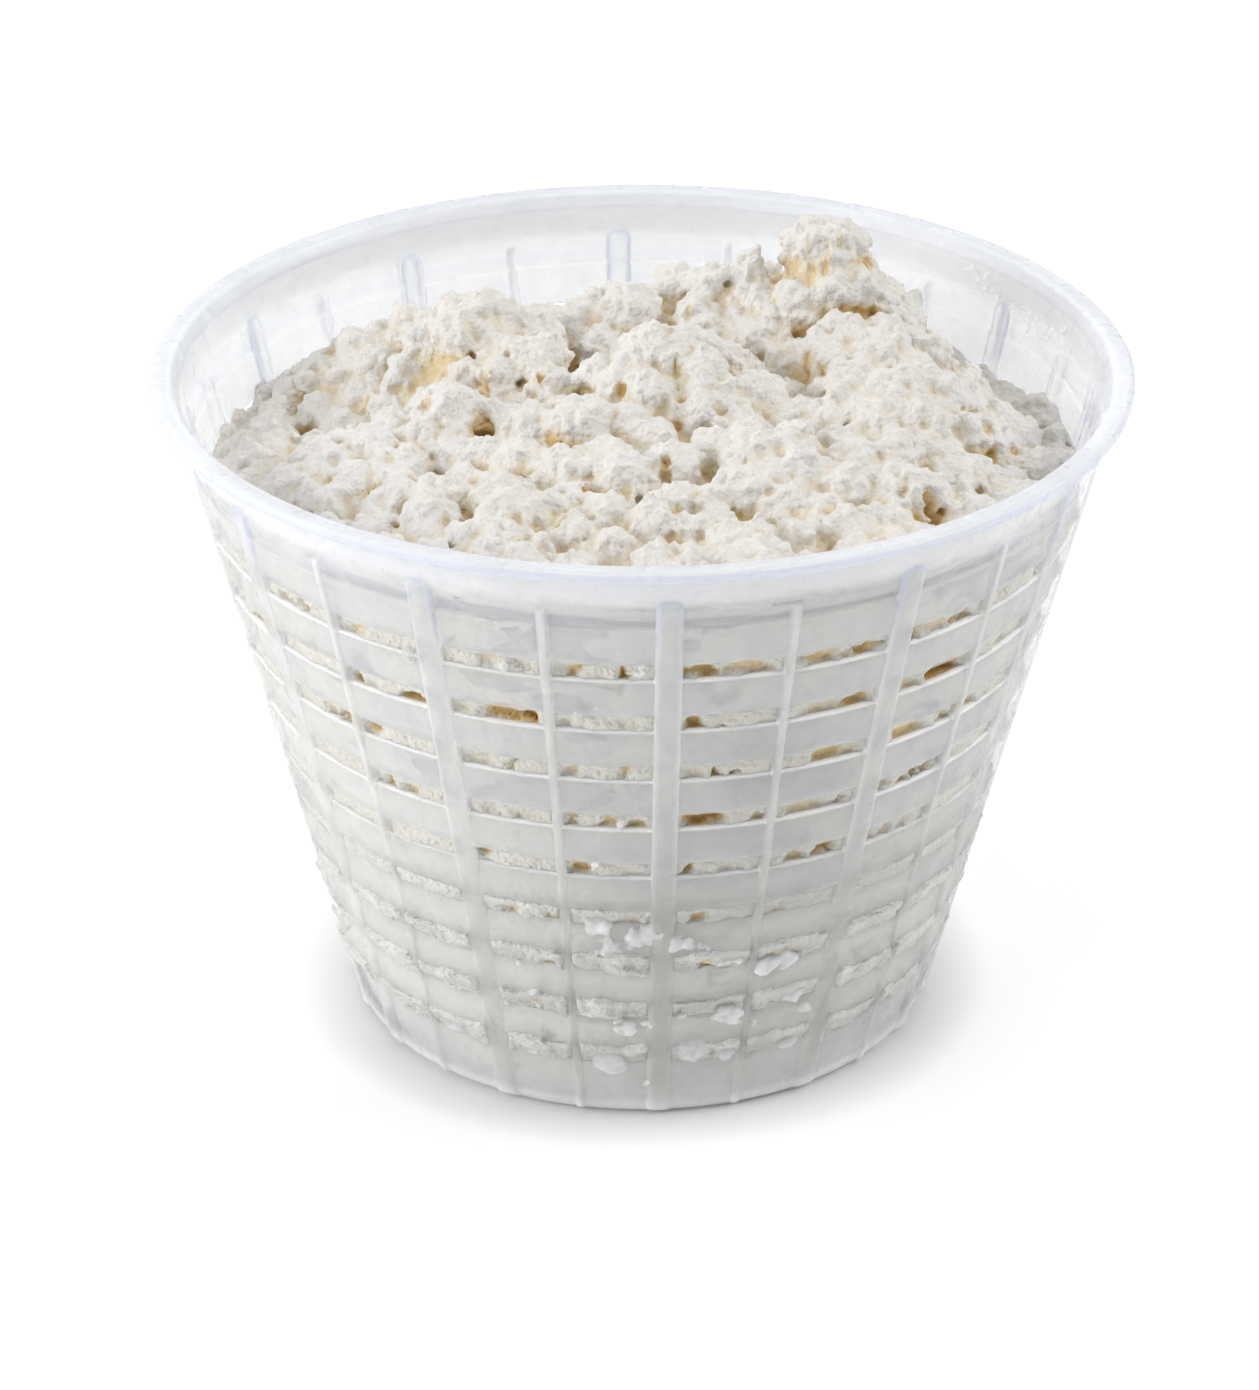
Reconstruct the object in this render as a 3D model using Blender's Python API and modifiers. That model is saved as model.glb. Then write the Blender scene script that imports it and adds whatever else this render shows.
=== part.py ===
"""Fresh ricotta heaped in its round draining basket. Metres, +Z up, the opening up, resting on z = 0."""

import math

import bmesh
import bpy
from mathutils import Matrix

# ---- the basket's driving sizes ----
RIM_R = 0.0600  # outside of the lip
RIM_Z = 0.0850  # top of the lip
LIP_IN_R = 0.0572  # inner edge of the lip's flat top
LIP_T = 0.0013  # depth of the lip's outer edge
LIP_ROUND = 0.0003
LIP_FILLET = 0.0011  # under the lip, where it runs into the band
WALL_R0 = 0.0366  # outside of the wall, run down to z = 0
WALL_R1 = 0.05803  # outside of the wall, run up to z = RIM_Z
WALL_T = 0.0011  # measured level, across the wall
BASE_R = 0.0354  # flat underside
BASE_CHAMFER_Z = 0.0011
FLOOR_T = 0.0014

ROWS = 10  # rows of ledges; above each but the highest is a row of slots
FIRST_TOP_Z = 0.07603  # top edge of the highest slat
PITCH = 0.007467
SLOT_H = 0.0023
STEP_HIGH = 0.00010  # how far a slat's lower edge stands out of the cone, at the highest row
STEP_LOW = 0.00042  # and at the lowest row
THIN_BACK = 0.00045  # how far the plain band has drawn in where it meets the highest ledge

RIB_PAIRS = 12  # a wide and a thin rib, in turn, all the way round
RIB_TURN = math.radians(3.1)  # the front wide rib's angle off -Y, towards +X
WIDE_W = (0.0029, 0.0033)  # at the base and at the top
THIN_W = (0.0011, 0.0013)
WIDE_TOP_Z = 0.0803
THIN_TOP_Z = 0.0785
WIDE_OUT = 0.00060  # how far a rib stands out of the cone
THIN_OUT = 0.00048
RIB_IN = 0.00030  # how far it stands in
RIB_FOOT_Z = 0.0012  # just above the chamfer of the underside

DRAINS = 8  # slots in the floor
DRAIN_IN_R = 0.0125
DRAIN_OUT_R = 0.0295
DRAIN_W = 0.0023

STEPS = 48  # round the axis; a rib's middle falls on every second one

# ---- the ricotta's driving sizes ----
GAP = 0.0003
CURD_IN = RIB_IN + GAP + 0.00005  # from the wall's inside to the ricotta
CURD_ROUND = 0.0016  # worn edge round the curd's foot
CURD_RINGS = 8
# height where the curd meets the wall, at every 30 degrees from the front towards +X
CONTACT_Z = (0.0790, 0.0785, 0.0765, 0.0720, 0.0700, 0.0715, 0.0705, 0.0690, 0.0705, 0.0710, 0.0745, 0.0780)
CROWN = 0.0040  # rise of the bed under the lumps, at the axis
BLEND = 0.0011  # how softly the lumps run together
# lumps of the heap: x, y, top, and the radius of curvature there
LUMPS = (
    (0.0232, 0.0205, 0.0945, 0.0036),
    (0.0125, 0.0215, 0.0880, 0.0100),
    (-0.0005, 0.0190, 0.0862, 0.0100),
    (0.0030, -0.0030, 0.0880, 0.0120),
    (0.0290, -0.0070, 0.0842, 0.0180),
    (0.0275, 0.0060, 0.0862, 0.0100),
    (-0.0200, 0.0110, 0.0878, 0.0060),
    (-0.0135, 0.0000, 0.0845, 0.0080),
    (-0.0345, 0.0180, 0.0800, 0.0090),
    (-0.0450, -0.0060, 0.0768, 0.0090),
    (-0.0335, -0.0160, 0.0808, 0.0080),
    (-0.0230, -0.0080, 0.0828, 0.0090),
    (-0.0060, -0.0120, 0.0835, 0.0090),
    (0.0000, -0.0240, 0.0815, 0.0120),
    (0.0190, -0.0220, 0.0832, 0.0120),
    (0.0420, -0.0080, 0.0800, 0.0090),
    (0.0300, -0.0290, 0.0812, 0.0110),
    (-0.0180, -0.0380, 0.0802, 0.0150),
    (0.0080, -0.0420, 0.0806, 0.0150),
)


def clear_scene():
    for thing in list(bpy.data.objects):
        bpy.data.objects.remove(thing, do_unlink=True)
    for group in list(bpy.data.collections):
        bpy.data.collections.remove(group)


def new_collection(name):
    group = bpy.data.collections.new(name)
    bpy.context.scene.collection.children.link(group)
    return group


def new_object(name, bm, group):
    bmesh.ops.recalc_face_normals(bm, faces=bm.faces)
    mesh = bpy.data.meshes.new(name)
    bm.to_mesh(mesh)
    bm.free()
    thing = bpy.data.objects.new(name, mesh)
    group.objects.link(thing)
    return thing


def new_material(name, colour, roughness):
    made = bpy.data.materials.new(name)
    made.use_nodes = True
    shader = made.node_tree.nodes["Principled BSDF"]
    shader.inputs["Base Color"].default_value = (*colour, 1.0)
    shader.inputs["Roughness"].default_value = roughness
    shader.inputs["Metallic"].default_value = 0.0
    return made


def outer_r(z):
    return WALL_R0 + (WALL_R1 - WALL_R0) * z / RIM_Z


def inner_r(z):
    return outer_r(z) - WALL_T


def slat_loops():
    """One closed section for each slat between two rows of slots, outer side first and from the top down."""
    loops = []
    for row in range(1, ROWS - 1):
        top = FIRST_TOP_Z - PITCH * row
        low = top - PITCH + SLOT_H
        step = STEP_HIGH + (STEP_LOW - STEP_HIGH) * row / (ROWS - 1)
        loops.append(
            [
                (outer_r(top) - step / 2, top),
                (outer_r(low) + step, low),
                (inner_r(low), low),
                (inner_r(top), top),
            ]
        )
    return loops


def band_loop():
    """The flat lip, the plain band, which thins down to the highest ledge, and the slat under that ledge."""
    low = FIRST_TOP_Z - PITCH + SLOT_H
    thins = FIRST_TOP_Z + SLOT_H
    under = RIM_Z - LIP_T
    return [
        (RIM_R - LIP_ROUND, RIM_Z),
        (RIM_R, RIM_Z - LIP_ROUND),
        (RIM_R - LIP_ROUND, under),
        (outer_r(under - LIP_FILLET), under - LIP_FILLET),
        (outer_r(thins), thins),
        (outer_r(FIRST_TOP_Z) - THIN_BACK, FIRST_TOP_Z),
        (outer_r(FIRST_TOP_Z) - STEP_HIGH / 2, FIRST_TOP_Z - 0.00002),
        (outer_r(low) + STEP_HIGH, low),
        (inner_r(low), low),
        (LIP_IN_R, RIM_Z),
    ]


def base_loop():
    """The lowest band and the floor; it starts and ends on the axis."""
    top = FIRST_TOP_Z - PITCH * (ROWS - 1)
    return [
        (0.0, FLOOR_T),
        (inner_r(FLOOR_T), FLOOR_T),
        (inner_r(top), top),
        (outer_r(top) - STEP_LOW / 2, top),
        (outer_r(BASE_CHAMFER_Z), BASE_CHAMFER_Z),
        (BASE_R, 0.0),
        (0.0, 0.0),
    ]


def turned(name, loops, open_loops, group):
    """All the sections in one mesh, with a Screw that turns them about Z."""
    bm = bmesh.new()
    for loop, closed in [(one, True) for one in loops] + [(one, False) for one in open_loops]:
        dots = [bm.verts.new((r, 0.0, z)) for r, z in loop]
        for a, b in zip(dots, dots[1:]):
            bm.edges.new((a, b))
        if closed:
            bm.edges.new((dots[-1], dots[0]))
    mesh = bpy.data.meshes.new(name)
    bm.to_mesh(mesh)
    bm.free()
    thing = bpy.data.objects.new(name, mesh)
    group.objects.link(thing)
    screw = thing.modifiers.new("turn", "SCREW")
    screw.axis = "Z"
    screw.angle = math.tau
    screw.steps = STEPS
    screw.render_steps = STEPS
    screw.use_merge_vertices = True
    screw.merge_threshold = 0.00002
    screw.use_normal_calculate = False
    screw.use_smooth_shade = False
    return thing


def add_bar(bm, turn, widths, top_z, out, inward, segments):
    """A rib through the wall with a round top, built at -Y and turned by the given angle."""
    foot, head = widths
    middle = top_z - head / 2
    outline = [(foot / 2, RIB_FOOT_Z)]
    for k in range(segments + 1):
        angle = math.pi * k / segments
        outline.append((head / 2 * math.cos(angle), middle + head / 2 * math.sin(angle)))
    outline.append((-foot / 2, RIB_FOOT_Z))
    front = bm.faces.new([bm.verts.new((x, -outer_r(z) - out, z)) for x, z in outline])
    pulled = bmesh.ops.extrude_face_region(bm, geom=[front], use_keep_orig=True)["geom"]
    back = [dot for dot in pulled if isinstance(dot, bmesh.types.BMVert)]
    for dot in back:
        dot.co.y = -inner_r(dot.co.z) + inward
    bmesh.ops.rotate(bm, cent=(0, 0, 0), matrix=Matrix.Rotation(turn, 3, "Z"), verts=back + list(front.verts))


def ribs(group):
    bm = bmesh.new()
    for pair in range(RIB_PAIRS):
        turn = math.tau * pair / RIB_PAIRS
        add_bar(bm, turn, WIDE_W, WIDE_TOP_Z, WIDE_OUT, RIB_IN, 5)
        add_bar(bm, turn + math.pi / RIB_PAIRS, THIN_W, THIN_TOP_Z, THIN_OUT, RIB_IN, 3)
    return new_object("ribs", bm, group)


def drains(group):
    """Cutters for the floor's slots, each between two wide ribs."""
    bm = bmesh.new()
    length = DRAIN_OUT_R - DRAIN_IN_R
    for k in range(DRAINS):
        made = bmesh.ops.create_cube(bm, size=1.0)["verts"]
        bmesh.ops.scale(bm, vec=(DRAIN_W, length, 0.008), verts=made)
        bmesh.ops.translate(bm, vec=(0.0, -(DRAIN_IN_R + DRAIN_OUT_R) / 2, 0.0), verts=made)
        bmesh.ops.rotate(bm, cent=(0, 0, 0), matrix=Matrix.Rotation(math.tau * (k + 0.5) / DRAINS, 3, "Z"), verts=made)
    return new_object("drains", bm, group)


def boolean(thing, name, operation, other):
    cut = thing.modifiers.new(name, "BOOLEAN")
    cut.operation = operation
    cut.solver = "EXACT"
    cut.object = other


def contact_z(angle):
    """Height of the curd's edge at an angle from the front towards +X."""
    at = (angle % math.tau) / math.tau * len(CONTACT_Z)
    low = int(math.floor(at)) % len(CONTACT_Z)
    share = at - math.floor(at)
    share = share * share * (3 - 2 * share)
    return CONTACT_Z[low] * (1 - share) + CONTACT_Z[(low + 1) % len(CONTACT_Z)] * share


def heap_z(x, y):
    """Height of the heap: a low crown with the lumps run into it."""
    angle = math.atan2(x, -y)
    edge = contact_z(angle)
    far = min(1.0, math.hypot(x, y) / (inner_r(edge) - CURD_IN))
    bed = edge + CROWN * (1 - far * far)
    total = 1.0
    for px, py, top, bend in LUMPS:
        lump = top - ((x - px) ** 2 + (y - py) ** 2) / (2 * bend)
        total += math.exp(min(60.0, (lump - bed) / BLEND))
    # the lumps fade out where the curd meets the wall
    rise = BLEND * math.log(total)
    return bed + rise * min(1.0, (1 - far) / 0.16)


def curd_section(angle):
    """The ricotta's outline from the axis to its edge and down to its foot, as r and z, at an angle from +X."""
    edge = contact_z(angle + math.pi / 2)
    edge_r = inner_r(edge) - CURD_IN
    dots = []
    for ring in range(CURD_RINGS + 1):
        r = edge_r * ring / CURD_RINGS
        dots.append((r, edge if ring == CURD_RINGS else heap_z(r * math.cos(angle), r * math.sin(angle))))
    low = FLOOR_T + CURD_ROUND
    dots.append((inner_r(low) - CURD_IN, low))
    dots.append((inner_r(FLOOR_T) - CURD_IN - CURD_ROUND / 2, FLOOR_T + GAP))
    return dots


def ricotta(group):
    """A section is turned about Z, and each copy then takes the outline that the heap has at its angle."""
    bm = bmesh.new()
    dots = [bm.verts.new((r, 0.0, z)) for r, z in curd_section(0.0)]
    lines = [bm.edges.new(pair) for pair in zip(dots, dots[1:])]
    bmesh.ops.spin(bm, geom=dots + lines, cent=(0, 0, 0), axis=(0, 0, 1), angle=math.tau, steps=STEPS, use_merge=True)
    bmesh.ops.remove_doubles(bm, verts=bm.verts, dist=0.000002)
    start = [(math.hypot(dot.co.x, dot.co.y), dot.co.z) for dot in bm.verts]
    flat = curd_section(0.0)
    for dot, (r, z) in zip(list(bm.verts), start):
        at = min(range(len(flat)), key=lambda k: math.hypot(flat[k][0] - r, flat[k][1] - z))
        angle = math.atan2(dot.co.y, dot.co.x) + RIB_TURN
        new_r, new_z = curd_section(angle)[at]
        dot.co = (new_r * math.cos(angle), new_r * math.sin(angle), new_z)
    bmesh.ops.holes_fill(bm, edges=[edge for edge in bm.edges if edge.is_boundary], sides=0)
    thing = new_object("ricotta", bm, group)
    thing.data.shade_smooth()
    return thing


def main():
    clear_scene()
    scene = bpy.context.scene
    scene.unit_settings.system = "METRIC"
    scene.unit_settings.scale_length = 1.0
    model = new_collection("ricotta_in_basket")
    helpers = new_collection("cutters")

    basket = turned("basket", slat_loops() + [band_loop()], [base_loop()], model)
    rib_bars = ribs(helpers)
    floor_cuts = drains(helpers)
    boolean(basket, "join ribs", "UNION", rib_bars)
    boolean(basket, "cut drains", "DIFFERENCE", floor_cuts)
    for thing in (basket, rib_bars, floor_cuts):
        thing.rotation_euler = (0.0, 0.0, RIB_TURN)
    for thing in (rib_bars, floor_cuts):
        thing.hide_render = True
        thing.display_type = "WIRE"
    helpers.hide_render = True

    curd = ricotta(model)
    basket.data.materials.append(new_material("basket", (0.80, 0.82, 0.84), 0.35))
    curd.data.materials.append(new_material("ricotta", (0.88, 0.82, 0.70), 0.65))


main()
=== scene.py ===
"""Looks for the ricotta in its draining basket: a milky see-through basket, curd with its grains, and curd that has come through the slots."""
import math

import bmesh
import bpy
import numpy as np
from mathutils import Matrix, Vector


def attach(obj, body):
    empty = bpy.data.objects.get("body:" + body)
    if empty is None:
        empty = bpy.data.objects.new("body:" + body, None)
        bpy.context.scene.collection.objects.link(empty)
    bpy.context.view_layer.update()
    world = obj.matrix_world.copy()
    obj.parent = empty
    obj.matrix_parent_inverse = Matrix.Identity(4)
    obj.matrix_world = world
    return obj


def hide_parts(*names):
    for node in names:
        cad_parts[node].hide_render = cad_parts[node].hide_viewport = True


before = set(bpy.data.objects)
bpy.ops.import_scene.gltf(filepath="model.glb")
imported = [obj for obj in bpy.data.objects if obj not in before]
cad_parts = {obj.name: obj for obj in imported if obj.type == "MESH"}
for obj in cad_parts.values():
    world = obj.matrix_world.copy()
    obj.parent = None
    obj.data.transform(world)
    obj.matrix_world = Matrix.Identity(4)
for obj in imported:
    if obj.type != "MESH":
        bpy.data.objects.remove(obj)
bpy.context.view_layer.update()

MM = 0.001

# ------------------------------------------------------------------ sizes, in mm, as the CAD has them
RIM_R, RIM_Z = 60.0, 85.0
R0, R1 = 36.6, 58.03
WALL_T = 1.1
ROWS, FIRST_Z, PITCH, SLOT_H = 10, 76.03, 7.467, 2.3
TURN = math.radians(3.1)
FLOOR_T = 1.4
CONTACT = (79.0, 78.5, 76.5, 72.0, 70.0, 71.5, 70.5, 69.0, 70.5, 71.0, 74.5, 78.0)


def outer_r(z):
    return R0 + (R1 - R0) * z / RIM_Z


def inner_r(z):
    return outer_r(z) - WALL_T


# ------------------------------------------------------------------ camera
CAM_EL, CAM_DIST, AIM = math.radians(27.275), 600.0, (-1.544, 0.0, 39.17)
FOCAL_PX, IMAGE_H = 4742.0, 1390.0


def make_camera():
    data = bpy.data.cameras.new("camera")
    data.sensor_width = 36.0
    data.lens = FOCAL_PX / IMAGE_H * 36.0
    data.clip_start, data.clip_end = 0.05, 20.0
    cam = bpy.data.objects.new("camera", data)
    bpy.context.scene.collection.objects.link(cam)
    back = Vector((0.0, -math.cos(CAM_EL), math.sin(CAM_EL)))
    cam.location = (Vector(AIM) + back * CAM_DIST) * MM
    cam.rotation_mode = "QUATERNION"
    cam.rotation_quaternion = (-back).to_track_quat("-Z", "Y")
    bpy.context.scene.camera = cam
    return cam


camera = make_camera()

# ------------------------------------------------------------------ noise in numpy


def hashed(ix, iy, iz, seed, n=1):
    """n numbers from 0 to 1 for each whole-number cell."""
    a = (ix.astype(np.int64) * 73856093) ^ (iy.astype(np.int64) * 19349663) ^ (iz.astype(np.int64) * 83492791)
    h = (a ^ (seed * 2654435761)).astype(np.uint64) & np.uint64(0xFFFFFFFF)
    out = []
    for k in range(n):
        h = (h ^ (h >> np.uint64(16))) * np.uint64(0x45D9F3B) & np.uint64(0xFFFFFFFF)
        h = (h ^ (h >> np.uint64(16))) * np.uint64(0x45D9F3B) & np.uint64(0xFFFFFFFF)
        h = (h ^ (h >> np.uint64(16))) + np.uint64(k * 7919 + 17) & np.uint64(0xFFFFFFFF)
        out.append(h.astype(np.float64) / 4294967296.0)
    return out


def value_noise(P, size, seed):
    """Smooth noise from -1 to 1."""
    Q = P / size
    base = np.floor(Q).astype(np.int64)
    f = Q - base
    f = f * f * f * (f * (f * 6 - 15) + 10)
    total = 0.0
    for dx in (0, 1):
        for dy in (0, 1):
            for dz in (0, 1):
                (v,) = hashed(base[..., 0] + dx, base[..., 1] + dy, base[..., 2] + dz, seed)
                w = (f[..., 0] if dx else 1 - f[..., 0]) * (f[..., 1] if dy else 1 - f[..., 1]) * (f[..., 2] if dz else 1 - f[..., 2])
                total = total + w * v
    return total * 2 - 1


def fractal(P, size, seed, octaves=3, fade=0.5):
    total, amp, norm = 0.0, 1.0, 0.0
    for k in range(octaves):
        total = total + amp * value_noise(P, size / 2**k, seed + 31 * k)
        norm += amp
        amp *= fade
    return total / norm


def grains(P, size, seed, small=0.45, large=0.85, soft=18.0):
    """Height of packed balls, one for each cell, in cell sizes: round tops with creases between them."""
    Q = P / size
    base = np.floor(Q).astype(np.int64)
    total = np.zeros(P.shape[:-1])
    for dx in (-1, 0, 1):
        for dy in (-1, 0, 1):
            for dz in (-1, 0, 1):
                cx, cy, cz = base[..., 0] + dx, base[..., 1] + dy, base[..., 2] + dz
                a, b, c, d = hashed(cx, cy, cz, seed, 4)
                gap = (Q[..., 0] - cx - a) ** 2 + (Q[..., 1] - cy - b) ** 2 + (Q[..., 2] - cz - c) ** 2
                ball = small + (large - small) * d
                high = np.sqrt(np.maximum(ball * ball - gap, 0.0))
                total += np.exp(soft * high) - 1.0
    return np.log1p(total) / soft


def smooth(x, lo=0.0, hi=1.0):
    t = np.clip((x - lo) / (hi - lo), 0.0, 1.0)
    return t * t * (3 - 2 * t)


# ------------------------------------------------------------------ mesh helpers


def mesh_object(name, points_mm, faces, attributes=None, recalc=True, smooth_shade=True, normals=None):
    mesh = bpy.data.meshes.new(name)
    points = np.asarray(points_mm, np.float64) * MM
    faces = np.asarray(faces)
    if faces.ndim == 2:
        n, k = faces.shape
        mesh.vertices.add(len(points))
        mesh.vertices.foreach_set("co", points.astype(np.float32).ravel())
        mesh.loops.add(n * k)
        mesh.loops.foreach_set("vertex_index", faces.astype(np.int32).ravel())
        mesh.polygons.add(n)
        mesh.polygons.foreach_set("loop_start", np.arange(0, n * k, k, dtype=np.int32))
        mesh.polygons.foreach_set("loop_total", np.full(n, k, np.int32))
        mesh.update(calc_edges=True)
    mesh.validate()
    for key, values in (attributes or {}).items():
        layer = mesh.attributes.new(key, "FLOAT", "POINT")
        layer.data.foreach_set("value", np.asarray(values, np.float32).ravel())
    if recalc:
        bm = bmesh.new()
        bm.from_mesh(mesh)
        bmesh.ops.recalc_face_normals(bm, faces=bm.faces)
        bm.to_mesh(mesh)
        bm.free()
    mesh.polygons.foreach_set("use_smooth", np.full(len(mesh.polygons), smooth_shade, bool))
    mesh.update()
    if normals is not None:
        # the pieces' shared edge is shaded as one surface
        own = np.empty(len(mesh.vertices) * 3, np.float32)
        mesh.vertices.foreach_get("normal", own)
        own = own.reshape(-1, 3)
        count = len(normals)
        sign = np.sign(np.sum(own[:count] * normals, 1, keepdims=True))
        own[:count] = normals * np.where(sign == 0, 1, sign)
        mesh.normals_split_custom_set_from_vertices(own.tolist())
    thing = bpy.data.objects.new(name, mesh)
    bpy.context.scene.collection.objects.link(thing)
    return thing


def triangles_in(thing):
    thing.data.calc_loop_triangles()
    return len(thing.data.loop_triangles)


# ------------------------------------------------------------------ basket


def half_width(z, wide):
    share = np.clip(z / 80.0, 0.0, 1.0)
    return (1.45 + 0.20 * share) if wide else (0.55 + 0.10 * share)


def rib_height(t, z, wide):
    """0 off the rib to 1 on its flat, with a round shoulder and a round top."""
    top, edge = (80.3, 0.95) if wide else (78.5, 0.55)
    half = half_width(z, wide)
    up = np.maximum(z - (top - half_width(top, wide)), 0.0)
    inside = np.clip((half - np.hypot(t, up)) / edge, 0.0, 1.0)
    return np.sqrt(np.clip(1 - (1 - inside) ** 2, 0.0, 1.0))


WIDE_AT = (0.0, 0.5, 0.76, 0.87, 0.95, 1.0, 1.12)
THIN_AT = (0.0, 0.45, 0.72, 0.9, 1.0, 1.3)
GAP_COLUMNS = 3


def column_angles(z):
    """Angles from a wide rib's middle round to the next one's, which keep to the ribs' edges at every height."""
    r = outer_r(z)
    wide = [half_width(z, True) * k / r for k in WIDE_AT]
    thin = [math.pi / 12 - half_width(z, False) * k / r for k in THIN_AT][::-1]
    gap = [wide[-1] + (thin[0] - wide[-1]) * k / (GAP_COLUMNS + 1) for k in range(1, GAP_COLUMNS + 1)]
    half = wide + gap + thin
    return np.array(half + [math.pi / 6 - a for a in half[-2:0:-1]])


HALF_COLUMNS = len(WIDE_AT) + GAP_COLUMNS + len(THIN_AT)
PAIR_COLUMNS = 2 * HALF_COLUMNS - 2
COLUMNS = 12 * PAIR_COLUMNS


def wall_rows():
    """Heights of the wall's rings from the floor up, with which of them lie in a row of slots."""
    rows = [1.6, 2.6, 4.2, 5.8, 7.4]
    in_slot = []
    for row in reversed(range(ROWS)):
        top = FIRST_Z - PITCH * row
        low_of_next = top + SLOT_H
        if row:
            rows += [top - 0.42, top - 0.16, top, top + SLOT_H * 0.33, top + SLOT_H * 0.67, low_of_next, low_of_next + 0.14, low_of_next + 0.4]
        else:
            rows += [top - 0.42, top - 0.16, top, top + 0.03, top + 0.5, top + 1.2, top + 2.0, top + 2.6]
        if row:
            rows += [low_of_next + 1.6, low_of_next + 3.2]
        if row:
            in_slot.append((top, low_of_next))
    rows += [79.0, 79.25, 79.5, 79.7, 79.9, 80.05, 80.18, 80.3, 80.42, 80.8, 81.6, 82.4, 82.9]
    return np.array(rows), in_slot


def slat_offset(z):
    """How far the wall's outside stands off the plain cone, and how rounded an edge is, at a height."""
    off, back = np.zeros_like(z), np.zeros_like(z)
    for row in range(ROWS):
        top = FIRST_Z - PITCH * row
        low = top - PITCH + SLOT_H if row < ROWS - 1 else 0.0
        step = 0.10 + (0.42 - 0.10) * row / (ROWS - 1)
        on = (z <= top + 1e-6) & (z >= low - 1e-6)
        share = (top - z) / (PITCH - SLOT_H)
        off = np.where(on, -step / 2 + np.clip(share, 0, 1) * step * 1.5, off)
        if row == ROWS - 1:
            off = np.where(on, -step / 2 * (1 - np.clip((top - z) / 6.0, 0, 1)), off)
        back = np.where(on, np.maximum(back, 0.20 * (1 - np.clip((top - z) / 0.40, 0, 1)) ** 2), back)
        if row < ROWS - 1:
            back = np.where(on, np.maximum(back, 0.18 * (1 - np.clip((z - low) / 0.40, 0, 1)) ** 2), back)
    # the plain band draws in as it comes down to the highest ledge, and thins
    thins = (z > FIRST_Z + 1e-6) & (z < FIRST_Z + 3.0)
    near = 1 - np.clip((z - FIRST_Z) / 3.0, 0, 1)
    off = np.where(thins, -0.48 * near**1.3, off)
    return off, back


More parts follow.
